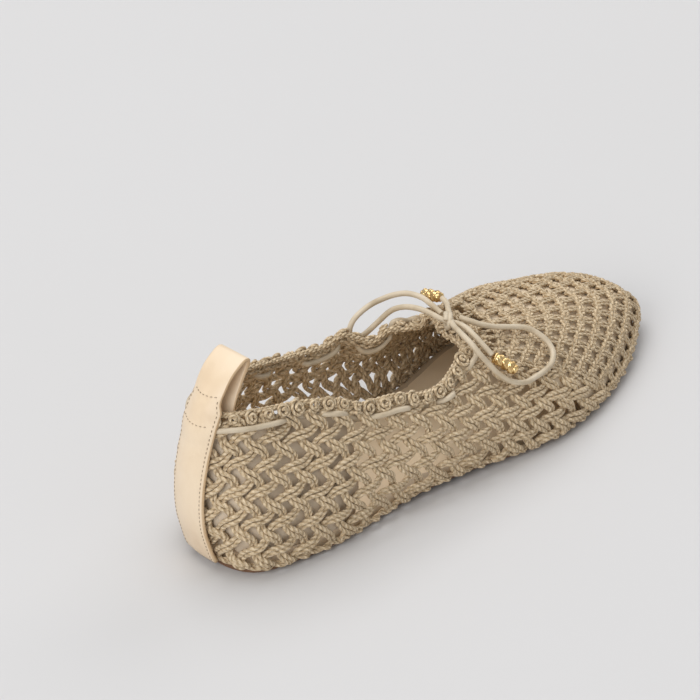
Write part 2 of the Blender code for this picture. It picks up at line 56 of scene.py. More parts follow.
# Sizes that the looks share with the solids
GAP = 0.3
SOLE_THICK = 3.0
SEAT_INSET = 0.6
CORD = 2.2
CORD_LIFT = 0.55
CORD_DROP = 6.5
TAB_WIDTH = 17.6
TAB_THICK = 1.5
TAB_LIFT = 0.5
ARCH_RISE = 1.5
ARCH = (70.0, 100.0, 115.0, 145.0)
TOE_SPRING = 4.0
TOE_SPRING_FROM = 188.0
TOE_SPRING_LENGTH = 57.0

# Ribs of the last, from the sole edge up to the collar, going round from heel by lateral side to toe
RIB_COLUMNS = ("sole_x", "sole_y", "swell", "rise", "flare", "drop", "share",
               "collar_x", "collar_y", "collar_z")
RIBS = {
    "heel_back": (9.5, 0.0, 12.5, 12.5, 8.0, 20.0, 0.00, 7.0, 0.0, 65.0),
    "lateral_heel_corner": (13.0, -18.5, 13.5, 12.0, 8.0, 20.0, 0.00, 15.0, -11.0, 66.0),
    "lateral_heel_side": (36.5, -26.5, 12.5, 11.5, 9.0, 17.0, 0.00, 41.5, -17.0, 62.0),
    "lateral_waist": (85.5, -26.5, 12.0, 11.5, 9.0, 15.0, 0.00, 79.5, -24.0, 50.0),
    "lateral_shank": (128.0, -31.0, 12.5, 10.0, 8.0, 13.0, 0.15, 104.5, -26.5, 45.0),
    "lateral_ball": (161.0, -35.0, 11.5, 9.5, 5.0, 10.0, 0.40, 121.0, -20.0, 46.5),
    "lateral_toe_joint": (203.5, -25.5, 9.5, 11.0, 1.0, 11.0, 0.68, 129.5, -15.0, 46.5),
    "lateral_toe_corner": (228.5, -11.5, 9.5, 11.5, 0.0, 12.5, 0.78, 131.5, -10.0, 46.0),
    "toe_tip": (243.0, 3.0, 12.0, 11.0, 0.0, 14.0, 0.76, 133.0, -4.0, 45.0),
    "medial_toe_corner": (239.5, 20.5, 13.0, 11.5, 0.0, 13.0, 0.78, 134.5, 1.5, 45.0),
    "medial_toe_joint": (216.5, 31.5, 11.5, 11.0, 1.0, 10.0, 0.72, 136.5, 6.5, 47.0),
    "medial_ball": (177.0, 37.0, 12.0, 11.5, 3.0, 9.0, 0.52, 125.0, 15.0, 44.5),
    "medial_shank": (139.5, 28.5, 13.0, 12.0, 8.0, 13.5, 0.20, 108.5, 21.5, 44.5),
    "medial_waist": (95.5, 22.0, 12.5, 13.0, 9.0, 16.0, 0.00, 79.5, 25.0, 48.0),
    "medial_heel_side": (37.0, 26.0, 13.0, 11.0, 9.0, 17.0, 0.00, 38.0, 18.0, 60.0),
    "medial_heel_corner": (15.5, 15.0, 11.5, 12.5, 8.0, 19.0, 0.00, 16.5, 11.0, 65.5),
}
# Gathers of the collar where the drawstring pulls it in: turn, half width in turns, lift
GATHERS = {
    "lateral_waist_dip": (0.146, 0.018, -2.0),
    "lateral_waist_crest": (0.190, 0.018, 1.0),
    "medial_shank_crest": (0.745, 0.016, 3.0),
    "medial_shank_dip": (0.700, 0.018, -3.0),
    "medial_corner_dip": (0.628, 0.018, -2.5),
    "medial_corner_crest": (0.588, 0.016, 1.0),
}

# Heel tab: height on the heel as a share of the rib, and lift
TAB_RISE = ((0.035, 0.0), (0.08, 0.0), (0.16, 0.0), (0.28, 0.0), (0.40, 0.0), (0.52, 0.0), (0.64, 0.0),
            (0.74, 0.0), (0.81, 0.1), (0.855, 0.5), (0.897, 0.8), (0.94, 0.7), (0.975, 0.6), (1.0, 0.6))
# Pull loop: ahead of the collar at the heel, above it, and how far it follows the heel's curve
LOOP = ((0.0, 4.0, 0.9), (3.4, 8.5, 0.6), (8.0, 13.2, 0.3), (13.3, 16.6, 0.1), (16.4, 17.7, 0.0),
        (17.9, 17.0, 0.0), (17.4, 15.2, 0.0), (14.8, 11.5, 0.15), (11.6, 7.0, 0.4), (8.9, 3.0, 0.65),
        (7.2, -1.0, 0.8), (6.8, -3.5, 0.8), (6.4, -7.0, 0.8), (6.2, -11.0, 0.8))

# The bow's cords: each loop goes on through the knot into the end on the other side
LATERAL_LOOP = ((140.2, -3.5, 49.2), (142.0, -7.4, 48.6), (144.6, -10.6, 47.2), (149.4, -12.9, 45.2),
                (154.9, -14.8, 43.6), (160.2, -16.9, 42.0), (163.6, -19.2, 40.3), (165.5, -22.4, 38.2),
                (166.4, -25.4, 35.9), (165.4, -28.6, 33.7), (161.4, -31.6, 31.9), (156.4, -33.0, 31.5),
                (150.4, -33.7, 31.5), (144.3, -34.0, 31.9), (138.2, -32.9, 34.4), (133.7, -30.3, 38.5),
                (130.8, -27.4, 43.2), (128.4, -24.9, 47.6), (127.8, -20.8, 50.8), (129.8, -13.6, 51.4),
                (133.4, -6.4, 50.2))
MEDIAL_LOOP = ((136.4, 2.3, 50.1), (136.9, 5.4, 50.6), (137.5, 9.0, 51.0), (138.4, 15.0, 51.2),
               (136.4, 20.4, 51.5), (133.0, 24.0, 50.8), (129.0, 26.0, 50.0), (123.5, 27.4, 49.0),
               (118.0, 28.0, 47.2), (114.8, 28.2, 45.2), (113.2, 28.4, 42.0), (114.0, 28.5, 38.8),
               (116.8, 28.5, 36.8), (120.8, 28.0, 36.8), (126.0, 26.8, 39.8), (130.0, 23.2, 45.2),
               (131.4, 17.6, 48.8), (132.2, 11.0, 50.6), (133.0, 5.2, 50.6), (133.3, 2.1, 50.2))
OVER_KNOT = ((136.0, -2.6, 50.3),)
UNDER_KNOT = ((134.2, -0.8, 49.6), (135.5, -3.4, 49.2))
LATERAL_END = ((136.2, -6.2, 49.5), (134.8, -12.0, 50.6), (133.2, -17.5, 50.4), (133.5, -22.0, 47.8),
               (134.6, -25.6, 44.6))
MEDIAL_END = ((138.8, 0.9, 50.4), (141.6, 4.6, 51.4), (143.0, 8.4, 51.6))
LATERAL_CAP = ((134.9, -26.1, 44.0), (141.5, -33.4, 37.3))
MEDIAL_CAP = ((143.2, 9.2, 51.6), (144.0, 19.2, 48.6))
KNOT_CENTRE = np.array([135.5, -2.0, 49.2])
ORIGIN = KNOT_CENTRE - np.mean(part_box("bow_knot"), axis=0) / MM  # the frame's origin on the last

# Camera of the photo: heading from +X and elevation in degrees, aim on the last, distance, lens
CAMERA_HEADING = 44.5565
CAMERA_ELEVATION = 31.3262
CAMERA_AIM = (116.7496, 31.6624, 30.0)
CAMERA_DISTANCE = 2300.0
CAMERA_LENS = 310.4
CAMERA_SENSOR = 36.0

# Sampling of the last
RIB_SAMPLES = 97
GIRTH_SAMPLES = 2001
EDGE_REACH = 2.0
GRID_TURNS = 1248
GRID_HEIGHTS = 193


def smooth_step(start, end, at):
    """0 before start, 1 after end and a soft rise between them."""
    share = np.clip((at - start) / (end - start), 0.0, 1.0)
    return share * share * (3.0 - 2.0 * share)


def hill(places, at):
    """A soft rise between the first two places and a soft fall between the last two."""
    return smooth_step(places[0], places[1], at) * (1.0 - smooth_step(places[2], places[3], at))


def unit(vectors):
    return vectors / np.linalg.norm(vectors, axis=-1, keepdims=True)


def lengths_along(points):
    """Distance of each point from the first, along the line."""
    steps = np.linalg.norm(np.diff(points, axis=0), axis=-1)
    return np.concatenate([[0.0], np.cumsum(steps)])


def points_at(wanted, places, points):
    """Points of a line at the wanted places along it."""
    return np.column_stack([np.interp(wanted, places, points[:, axis]) for axis in range(3)])


def along_line(line, closed=False):
    """Unit direction of a line at each of its points."""
    if closed:
        return unit(np.roll(line, -1, axis=0) - np.roll(line, 1, axis=0))
    return unit(np.gradient(line, axis=0))


def beside(line, normals, closed=False):
    """Unit direction across a line on a surface, at each of its points."""
    return unit(np.cross(along_line(line, closed), normals))


def turned(angle, across, up):
    """Directions turned by each angle from across towards up."""
    return np.cos(angle)[:, None] * across + np.sin(angle)[:, None] * up


# Smooth curves

def spline(knots, values, tangents, at):
    """Smooth curve through rows of values, with their tangents."""
    index = np.clip(np.searchsorted(knots, at, side="right") - 1, 0, len(knots) - 2)
    wide = (knots[index + 1] - knots[index])[:, None]
    s = (at - knots[index])[:, None] / wide
    from_start = (2 * s**3 - 3 * s**2 + 1) * values[index] + (s**3 - 2 * s**2 + s) * wide * tangents[index]
    to_end = (3 * s**2 - 2 * s**3) * values[index + 1] + (s**3 - s**2) * wide * tangents[index + 1]
    return from_start + to_end


def closed_spline(knots, values, at):
    """Smooth closed curve through the rows of values."""
    step = np.diff(knots)[:, None]
    step_before = np.roll(step, 1, axis=0)
    ring = np.vstack([values, values[:1]])
    slope = np.diff(ring, axis=0) / step
    tangents = (step_before * slope + step * np.roll(slope, 1, axis=0)) / (step + step_before)
    return spline(knots, ring, np.vstack([tangents, tangents[:1]]), np.mod(at, knots[-1]))


def open_spline(knots, values, at):
    """Smooth open curve through the rows of values."""
    ends = np.vstack([2 * values[0] - values[1], values, 2 * values[-1] - values[-2]])
    end_knots = np.concatenate([[2 * knots[0] - knots[1]], knots, [2 * knots[-1] - knots[-2]]])
    tangents = (ends[2:] - ends[:-2]) / (end_knots[2:] - end_knots[:-2])[:, None]
    return spline(knots, values, tangents, at)


# The last

def sole_rise(x):
    """Height of the sole's lower face: flat heel and forefoot, a low arch and a toe spring."""
    toe = np.clip((x - TOE_SPRING_FROM) / TOE_SPRING_LENGTH, 0.0, None) ** 2
    return ARCH_RISE * hill(ARCH, x) + TOE_SPRING * toe


def ribs_at(turns):
    """Rib values and outward directions in plan at the given turns."""
    table = np.array(list(RIBS.values()))
    edge = table[:, :2]
    knots = lengths_along(np.vstack([edge, edge[:1]]))
    samples = np.linspace(0.0, knots[-1], GIRTH_SAMPLES)
    lengths = lengths_along(closed_spline(knots, table, samples)[:, :2])
    at = np.interp(np.mod(turns, 1.0) * lengths[-1], lengths, samples)
    ahead = closed_spline(knots, table, at + EDGE_REACH)[:, :2]
    behind = closed_spline(knots, table, at - EDGE_REACH)[:, :2]
    along = unit(ahead - behind)
    outward = np.column_stack([along[:, 1], -along[:, 0], np.zeros(len(along))])
    return closed_spline(knots, table, at), outward


def gathered(turns):
    """Lift of the collar by its gathers."""
    lift = np.zeros(len(turns))
    for turn, half_width, height in GATHERS.values():
        away = (np.mod(turns - turn + 0.5, 1.0) - 0.5) / half_width
        lift += height * np.exp(-away * away)
    return lift


def last_points(turns, heights):
    """Points of the last on a grid, with a row for each height and a column for each turn."""
    rows, outward = ribs_at(turns)
    rib = dict(zip(RIB_COLUMNS, rows.T[:, :, None]))
    foot = np.hstack([rib["sole_x"], rib["sole_y"], SOLE_THICK + GAP + sole_rise(rib["sole_x"])])
    foot = foot - outward * SEAT_INSET
    collar = np.hstack([rib["collar_x"], rib["collar_y"], rib["collar_z"] + gathered(turns)[:, None]])
    low = foot + outward * rib["swell"] + UP * rib["rise"]
    run = (foot - collar) * (1.0 - UP)
    high = collar + outward * rib["flare"] + run * rib["share"] - UP * rib["drop"]
    t = np.linspace(0.0, 1.0, RIB_SAMPLES)[:, None, None]
    curve = (1 - t)**3 * foot + 3 * (1 - t)**2 * t * low + 3 * (1 - t) * t**2 * high + t**3 * collar
    columns = []
    for line in curve.transpose(1, 0, 2):
        length = lengths_along(line)
        columns.append(points_at(heights * length[-1], length, line))
    return np.stack(columns, axis=1)


def grid_normals(points):
    """Outward normals of a grid that closes round the shoe."""
    across = np.roll(points, -1, axis=1) - np.roll(points, 1, axis=1)
    return unit(np.cross(across, np.gradient(points, axis=0)))


def rib_lengths(points):
    """Length of each column of a grid."""
    return np.linalg.norm(np.diff(points, axis=0), axis=2).sum(axis=0)


def look_up(table, turns, heights):
    """Values of a grid table at any turns and heights."""
    across = np.mod(turns, 1.0) * GRID_TURNS
    col = np.floor(across).astype(int)
    right = (across - col)[..., None]
    up = np.clip(heights, 0.0, 1.0) * (GRID_HEIGHTS - 1)
    row = np.minimum(up.astype(int), GRID_HEIGHTS - 2)
    above = (up - row)[..., None]
    near = col % GRID_TURNS
    far = (col + 1) % GRID_TURNS
    low = table[row, near] * (1 - right) + table[row, far] * right
    high = table[row + 1, near] * (1 - right) + table[row + 1, far] * right
    return low * (1 - above) + high * above


# Soft troughs of the upper: places as (turn, row on a chart from sole to collar), half width, greatest depth
CHART_ROWS = 12
CREASES = {
    "lateral_vamp_trough": (((0.246, 10.6), (0.283, 9.2), (0.306, 7.5), (0.330, 5.8), (0.350, 4.2)),
                            6.0, 1.6),
    "medial_vamp_trough": (((0.665, 10.4), (0.645, 8.6), (0.625, 6.8)), 6.0, 1.2),
    "lateral_quarter_fold": (((0.150, 11.4), (0.165, 9.0), (0.185, 6.6)), 5.0, 1.2),
    "medial_quarter_fold": (((0.705, 11.2), (0.715, 8.8), (0.730, 6.5)), 5.0, 1.4),
    "lateral_heel_fold": (((0.072, 10.6), (0.082, 8.0), (0.094, 5.0)), 5.0, 0.8),
}
CREASE_SAMPLES = 24
# Small pleats round the throat: how many to a turn, their height, and the turns and rows where they fade
PLEATS = 34.0
PLEAT_HEIGHT = 0.7
PLEAT_TURNS = (0.30, 0.36, 0.62, 0.68)
PLEAT_ROWS = (7.5, 11.0)


def crease_depth(points, turns, heights):
    """How far each point of the grid is drawn in by the creases and pleats."""
    depth = np.zeros(points.shape[:2])
    taper = np.sqrt(np.sin(np.pi * (np.arange(CREASE_SAMPLES) + 1.0) / (CREASE_SAMPLES + 1.0)))
    for places, half_width, deepest in CREASES.values():
        at = np.linspace(0.0, len(places) - 1.0, CREASE_SAMPLES)
        line_turns, line_rows = (np.interp(at, np.arange(len(places)), values) for values in zip(*places))
        rows = np.round(line_rows / CHART_ROWS * (GRID_HEIGHTS - 1)).astype(int)
        cols = np.round(line_turns * GRID_TURNS).astype(int) % GRID_TURNS
        pull = np.zeros(points.shape[:2])
        for place, share in zip(points[rows, cols], taper):
            away = ((points - place) ** 2).sum(axis=2) / half_width ** 2
            pull = np.maximum(pull, share * np.exp(-away))
        depth += deepest * pull
    fade = smooth_step(*PLEAT_ROWS, heights * CHART_ROWS)
    waves = hill(PLEAT_TURNS, turns) * np.cos(2 * np.pi * PLEATS * turns)
    return depth + PLEAT_HEIGHT * np.outer(fade, waves)


# The net hangs over the sole's edge: how far out and down at its foot, and how far up that reaches
SKIRT_OUT = 2.8
SKIRT_DROP = 1.3
SKIRT_REACH = 11.0
SKIRT_HEEL = 0.6  # share of it that is missing under the heel tab
SKIRT_HEEL_TURN = 0.035


def shaped_last():
    """Points and normals of the last with its creases and the net's skirt, on the fine grid."""
    turns = np.arange(GRID_TURNS) / GRID_TURNS
    heights = np.linspace(0.0, 1.0, GRID_HEIGHTS)
    points = last_points(turns, heights)
    fall = 1.0 - smooth_step(0.0, SKIRT_REACH, np.outer(heights, rib_lengths(points)))
    points = points - grid_normals(points) * crease_depth(points, turns, heights)[:, :, None]
    heel = np.minimum(turns, 1.0 - turns) / SKIRT_HEEL_TURN
    fall = fall * (1.0 - SKIRT_HEEL * np.exp(-heel * heel))
    _, outward = ribs_at(turns)
    points = points + fall[:, :, None] * (outward * SKIRT_OUT - UP * SKIRT_DROP)
    return points, grid_normals(points)


LAST_POINTS, LAST_NORMALS = shaped_last()
RIB_LENGTHS = rib_lengths(LAST_POINTS)


def on_last(turns, heights, lift=0.0):
    """Points at a lift from the last, with normals."""
    normals = unit(look_up(LAST_NORMALS, turns, heights))
    lift = np.broadcast_to(lift, np.shape(turns))
    return look_up(LAST_POINTS, turns, heights) + normals * lift[..., None], normals


# Meshes

UV_MAP = "along"


class Tubes:
    """Tubes gathered into one mesh, with a UV map of turn round each tube and length along it."""

    def __init__(self):
        self.points = []
        self.quads = []
        self.uvs = []
        self.fans = [np.zeros((0, 3), int)]
        self.count = 0

    def add(self, line, out, radius, sides, closed=False):
        """A tube along a line, with out as one direction across it."""
        count = len(line)
        side = beside(line, out, closed)
        rise = np.cross(side, along_line(line, closed))
        angle = (np.arange(sides) * 2 * np.pi / sides)[None, :, None]
        spoke = np.cos(angle) * side[:, None, :] + np.sin(angle) * rise[:, None, :]
        if np.ndim(radius) < 2:  # one radius for all or for each ring, not for each point
            radius = np.broadcast_to(radius, count)[:, None]
        self.points.append((line[:, None, :] + radius[:, :, None] * spoke).reshape(-1, 3))

        ring = np.arange(count if closed else count - 1)[:, None]
        place = np.arange(sides)
        after = (place + 1) % sides
        here = ring * sides
        ahead = (ring + 1) % count * sides
        quads = np.stack([here + place, ahead + place, ahead + after, here + after], axis=-1)
        self.quads.append(quads.reshape(-1, 4) + self.count)
        far = lengths_along(np.vstack([line, line[:1]]))
        low = far[ring]
        high = far[ring + 1]
        left = place / sides
        right = left + 1.0 / sides
        uvs = np.stack(np.broadcast_arrays(left, low, left, high, right, high, right, low), axis=-1)
        self.uvs.append(uvs.reshape(-1, 2))
        if not closed:
            self.points.append(line[[0, -1]])
            last = (count - 1) * sides
            middle = np.full(sides, count * sides)
            first_fan = np.column_stack([place, after, middle])
            last_fan = np.column_stack([last + after, last + place, middle + 1])
            self.fans.append(np.vstack([first_fan, last_fan]) + self.count)
        self.count = sum(len(points) for points in self.points)

    def piece(self, name, material):
        return new_mesh(name, np.vstack(self.points), np.vstack(self.quads), material,
                        np.vstack(self.fans), np.vstack(self.uvs))


def to_frame(points):
    """Points of the last in metres of the frame."""
    return (np.asarray(points, float) - ORIGIN) * MM


def add_object(name, data, material):
    """A piece of the shoe with its material, riding on its body."""
    data.materials.append(material)
    thing = bpy.data.objects.new(name, data)
    bpy.context.collection.objects.link(thing)
    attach(thing, BODY)
    return thing


def new_mesh(name, points, quads, material, fans=np.zeros((0, 3), int), uvs=np.zeros((0, 2))):
    """A smooth mesh from quads and triangles, with UVs for the corners of the quads."""
    mesh = bpy.data.meshes.new(name)
    mesh.vertices.add(len(points))
    mesh.vertices.foreach_set("co", to_frame(points).astype(np.float32).ravel())
    corners = np.concatenate([quads.ravel(), fans.ravel()])
    mesh.loops.add(len(corners))
    mesh.loops.foreach_set("vertex_index", corners.astype(np.int32))
    starts = np.concatenate([np.arange(len(quads)) * 4, quads.size + np.arange(len(fans)) * 3])
    mesh.polygons.add(len(starts))
    mesh.polygons.foreach_set("loop_start", starts.astype(np.int32))
    mesh.update(calc_edges=True)
    corner_uvs = np.zeros((len(corners), 2), np.float32)
    corner_uvs[:len(uvs)] = uvs
    mesh.uv_layers.new(name=UV_MAP).data.foreach_set("uv", corner_uvs.ravel())
    mesh.shade_smooth()
    mesh.validate()
    return add_object(name, mesh, material)


# Materials

def new_material(name, colour, roughness, **sockets):
    """A Principled material with its plain values on the shader's own sockets."""
    material = bpy.data.materials.new(name)
    material.use_nodes = True
    shader = material.node_tree.nodes["Principled BSDF"]
    shader.inputs["Base Color"].default_value = (*colour, 1.0)
    shader.inputs["Roughness"].default_value = roughness
    for socket, value in sockets.items():
        shader.inputs[socket.replace("_", " ")].default_value = value
    return material, material.node_tree, shader


def add_node(tree, kind, inputs, **settings):
    """A node with its settings, and with inputs that are values or links from (node, output) pairs."""
    node = tree.nodes.new(kind)
    for name, value in settings.items():
        setattr(node, name, value)
    for socket, value in inputs.items():
        if isinstance(value, tuple):
            tree.links.new(value[0].outputs[value[1]], node.inputs[socket])
        else:
            node.inputs[socket].default_value = value
    return node


def texture(tree, kind, **inputs):
    """A texture over the shoe's own coordinates, with its scale in lumps to a metre."""
    place = add_node(tree, "ShaderNodeTexCoord", {})
    return add_node(tree, kind, {"Vector": (place, "Object"), **inputs})


def noise(tree, scale, detail=3.0):
    """Noise, as a pair of node and output."""
    return texture(tree, "ShaderNodeTexNoise", Scale=scale, Detail=detail), "Fac"


def ramp(tree, source, places, colours):
    """Colour ramp over a (node, output) pair, with a colour at each place."""
    node = add_node(tree, "ShaderNodeValToRGB", {"Fac": source})
    elements = node.color_ramp.elements
    while len(elements) < len(places):
        elements.new(0.5)
    for element, place, colour in zip(elements, places, colours):
        element.position = place
        element.color = (*colour, 1.0)
    return node, "Color"


def paint(tree, shader, source, socket="Base Color"):
    """Links a (node, output) pair to a socket of the shader."""
    tree.links.new(source[0].outputs[source[1]], shader.inputs[socket])


def bump(tree, shader, layers):
    """Bump from (height, strength, depth in mm) layers, one on another."""
    normal = {}
    for height, strength, depth in layers:
        inputs = {"Strength": strength, "Distance": depth * MM, "Height": height, **normal}
        normal = {"Normal": (add_node(tree, "ShaderNodeBump", inputs), "Normal")}
    paint(tree, shader, normal["Normal"], "Normal")


def twist(tree, plies, pitch):
    """Plies that wind round a tube: a wave over the turn round it and the length along it."""
    uvs = add_node(tree, "ShaderNodeUVMap", {}, uv_map=UV_MAP)
    parts = add_node(tree, "ShaderNodeSeparateXYZ", {"Vector": (uvs, "UV")})
    around = add_node(tree, "ShaderNodeMath", {0: (parts, "X"), 1: 2 * math.pi * plies},
                      operation="MULTIPLY")
    along = add_node(tree, "ShaderNodeMath", {0: (parts, "Y"), 1: 2 * math.pi / pitch, 2: (around, "Value")},
                     operation="MULTIPLY_ADD")
    return add_node(tree, "ShaderNodeMath", {0: (along, "Value")}, operation="SINE"), "Value"


# Yarn: shades from dark to light with their places on the flecks' noise, and painted shade in the grooves
# between plies
YARN_SHADES = ((0.50, 0.38, 0.235), (0.74, 0.585, 0.39), (0.90, 0.75, 0.54))
THREAD_SHADES = ((0.42, 0.31, 0.20), (0.52, 0.40, 0.27), (0.60, 0.48, 0.34))
FLECK_PLACES = (0.30, 0.5, 0.72)
FLECK_SCALE = 950.0
# Painted shade: a darker tint multiplied into the yarn's colour in the grooves between plies, where the
# twist wave is low
GROOVE_SHADE = ((0.68, 0.62, 0.52), (1.0, 1.0, 1.0))
GROOVE_SHADE_PLACES = (0.0, 0.42)
FIBRE_SCALE = 2200.0
# Strength and depth of the bumps
PLY_BUMP = (0.8, 0.22)
FIBRE_BUMP = (0.9, 0.26)


def yarn_material(name, shades, plies, pitch):
    """Matt plied yarn with flecks, painted shade in the grooves between its plies, fine fibres and a light
    sheen.
    """
    material, tree, shader = new_material(name, shades[1], roughness=0.9, Sheen_Weight=0.10,
                                          Sheen_Roughness=0.5, Specular_IOR_Level=0.25)
    colour = ramp(tree, noise(tree, FLECK_SCALE, detail=5.0), FLECK_PLACES, shades)
    plied = twist(tree, plies, pitch)
    depth = add_node(tree, "ShaderNodeMath", {0: plied, 1: 0.5, 2: 0.5}, operation="MULTIPLY_ADD")
    # Painted shade in the grooves between plies
    groove_shade = ramp(tree, (depth, "Value"), GROOVE_SHADE_PLACES, GROOVE_SHADE)
    mix = add_node(tree, "ShaderNodeMix", {"Factor": 1.0, "A": colour, "B": groove_shade}, data_type="RGBA",
                   blend_type="MULTIPLY")
    paint(tree, shader, (mix, "Result"))
    # The wave's stripes of painted shade stand out a little
    height = add_node(tree, "ShaderNodeMath", {0: plied, 1: -1.0}, operation="MULTIPLY"), "Value"
    bump(tree, shader, [(height, *PLY_BUMP), (noise(tree, FIBRE_SCALE), *FIBRE_BUMP)])
    return material


# Leathers: shades from dark to light, roughness, pores to a metre, their depth, blotches to a metre
LEATHERS = {
    "natural_leather": (((0.72, 0.545, 0.362), (0.81, 0.64, 0.45), (0.86, 0.7, 0.51)), 0.42, 1500, 0.05, 45),
    "cream_cord": (((0.50, 0.40, 0.27), (0.60, 0.50, 0.36), (0.68, 0.58, 0.44)), 0.5, 1800, 0.04, 120),
    "insole_leather": (((0.69, 0.54, 0.365), (0.76, 0.605, 0.415), (0.81, 0.66, 0.47)), 0.5, 1400, 0.04, 35),
    "lining_leather": (((0.71, 0.585, 0.44), (0.79, 0.665, 0.51), (0.85, 0.725, 0.57)),
                       0.65, 1400, 0.04, 50),
    "toe_lining_leather": (((0.73, 0.59, 0.42), (0.79, 0.65, 0.47), (0.84, 0.70, 0.52)),
                           0.65, 1400, 0.04, 50),
    # The foot lining's leather is painted much darker than the other linings: painted shade at the net's
    # foot
    "shaded_foot_lining_leather": (((0.42, 0.33, 0.23), (0.50, 0.395, 0.275), (0.56, 0.45, 0.32)),
                            0.65, 1400, 0.04, 50),
    "sole_leather": (((0.17, 0.085, 0.045), (0.24, 0.125, 0.065), (0.30, 0.165, 0.09)), 0.55, 900, 0.06, 70),
    "cut_leather": (((0.50, 0.33, 0.18), (0.60, 0.42, 0.24), (0.68, 0.50, 0.31)), 0.6, 1200, 0.06, 90),
}
COATS = {"natural_leather": {"Coat_Weight": 0.15, "Coat_Roughness": 0.35}}
BLOTCH_PLACES = (0.32, 0.5, 0.7)
PORE_STRENGTH = 0.35
WRINKLE_STRENGTH = 0.3
WRINKLE_DEPTH = 1.5  # against the pores
WRINKLE_SCALE = 5.0  # wrinkles to a blotch


def leather_material(name, shades, roughness, pores, depth, blotches):
    """Leather with a fine grain and soft blotches of colour."""
    material, tree, shader = new_material(name, shades[1], roughness, **COATS.get(name, {}))
    paint(tree, shader, ramp(tree, noise(tree, blotches, detail=5.0), BLOTCH_PLACES, shades))
    grain = texture(tree, "ShaderNodeTexVoronoi", Scale=pores), "Distance"
    wrinkles = noise(tree, blotches * WRINKLE_SCALE)
    bump(tree, shader, [(grain, PORE_STRENGTH, depth), (wrinkles, WRINKLE_STRENGTH, depth * WRINKLE_DEPTH)])
    return material


# Gold: tone, then colours and roughness from worn to bright, with their places on the wear's noise
GOLD_TONE = (0.85, 0.58, 0.22)
GOLD_COLOURS = ((0.62, 0.40, 0.16), (0.90, 0.66, 0.32))
GOLD_PLACES = (0.35, 0.6)
GOLD_GLOSS = ((0.34, 0.34, 0.34), (0.16, 0.16, 0.16))
GLOSS_PLACES = (0.3, 0.7)
WEAR_SCALE = 500.0
DENT_SCALE = 900.0
DENT_BUMP = (0.2, 0.05)


def gold_material():
    """Polished gold tone with faint wear."""
    material, tree, shader = new_material("gold", GOLD_TONE, roughness=0.2, Metallic=1.0)
    wear = noise(tree, WEAR_SCALE, detail=4.0)
    paint(tree, shader, ramp(tree, wear, GOLD_PLACES, GOLD_COLOURS))
    paint(tree, shader, ramp(tree, wear, GLOSS_PLACES, GOLD_GLOSS), "Roughness")
    bump(tree, shader, [(noise(tree, DENT_SCALE), *DENT_BUMP)])
    return material


PAPER_COLOURS = ((0.645, 0.639, 0.640), (0.655, 0.649, 0.652))
PAPER_PLACES = (0.3, 0.7)
PAPER_SCALE = 3.0


def floor_material():
    """Pale matt paper."""
    material, tree, shader = new_material("floor_paper", PAPER_COLOURS[0], roughness=0.85,
                                          Specular_IOR_Level=0.2)
    paint(tree, shader, ramp(tree, noise(tree, PAPER_SCALE, detail=2.0), PAPER_PLACES, PAPER_COLOURS))
    return material


YARN = yarn_material("linen_yarn", YARN_SHADES, plies=3, pitch=2.5)
THREAD = yarn_material("tan_thread", THREAD_SHADES, plies=2, pitch=0.8)
LEATHER = {name: leather_material(name, *row) for name, row in LEATHERS.items()}
GOLD = gold_material()


# Net of the upper: a slanting weave of paired yarns on the sides, ridges and posts at the toe

SIDES = {"lateral": 1, "medial": -1}
YARN_RADIUS = 0.93
YARN_SIDES = 7
NET_DEPTH = 1.25  # middle of the net under the last's surface
CROSS_DEPTH = 0.76  # how far crossing strands part
BAR_BIAS = 0.45  # how much flatter a strand lies where it shows than where it is hidden
LEAN = 0.20  # half meshes that each row lies ahead of the one below
SEAM_TURN = 0.010  # where the weave ends under the heel tab
NET_FOOT = 0.004  # heights where the strands end at the sole and behind the collar
NET_TOP = 0.955
STEPS = 11  # rings along a strand for each row
# Slow wandering of a strand: how far, waves along it, and their shift from strand to strand
WANDERS = ((0.09, 1.3, 2.1), (0.07, 0.53, 3.7))
# Half distance of a strand's two yarns, in radii, and how much wider and thicker they are where they show
PAIR_SPREAD = 0.96
PAIR_OPEN = 0.10
PAIR_SWELL = 0.04
# Lumps and slow swelling of a yarn: how far in radii, waves along it, and their shift
LUMP_SIZE, LUMP_WAVE, LUMP_SHIFT = (0.08, 3.15, 1.6)
SWELL_SIZE, SWELL_WAVE, SWELL_SHIFT = (0.05, 0.9, 2.7)
# Half meshes along the level row where strands start
STRAND_STARTS = {"rising": range(-24, 66, 2), "falling": range(-16, 72, 2)}
# Rows lie level to an eye at the photo's camera, and to its mirror image on the medial side. Places across
# that view from the heel, and the half mesh and the height of a row there
MESH_PLACES = (0.0, 34.0, 86.0, 135.0, 180.0)
HALF_MESHES = (5.0, 5.0, 4.75, 4.35, 4.2)
ROW_HEIGHTS = (5.3, 5.3, 4.9, 4.15, 4.0)
LEVEL_PLACE = (85.5, -26.5, 20.0)  # a place on the level row of the lateral side
MEDIAL_SHARE = 0.84  # size of the medial meshes against the lateral ones
ROW_SPAN = (-15, 22)
COARSE = 6  # grid steps between the places that a search starts from
FINE_STEPS = 4
LEAST_AREA = 1e-9

# Toe: rounds counted down from the collar, the turn where the first starts, its shift for each round below,
# turns until it is full, and half mesh along a round
TOE_ROUNDS = 12
TOE_START = 0.312
TOE_SHIFT = 0.0038
TOE_BLEND = 0.05
TOE_HALF_MESH = 3.9
TOE_TURNS = (0.30, 0.70)
TOE_SAMPLES = 1200
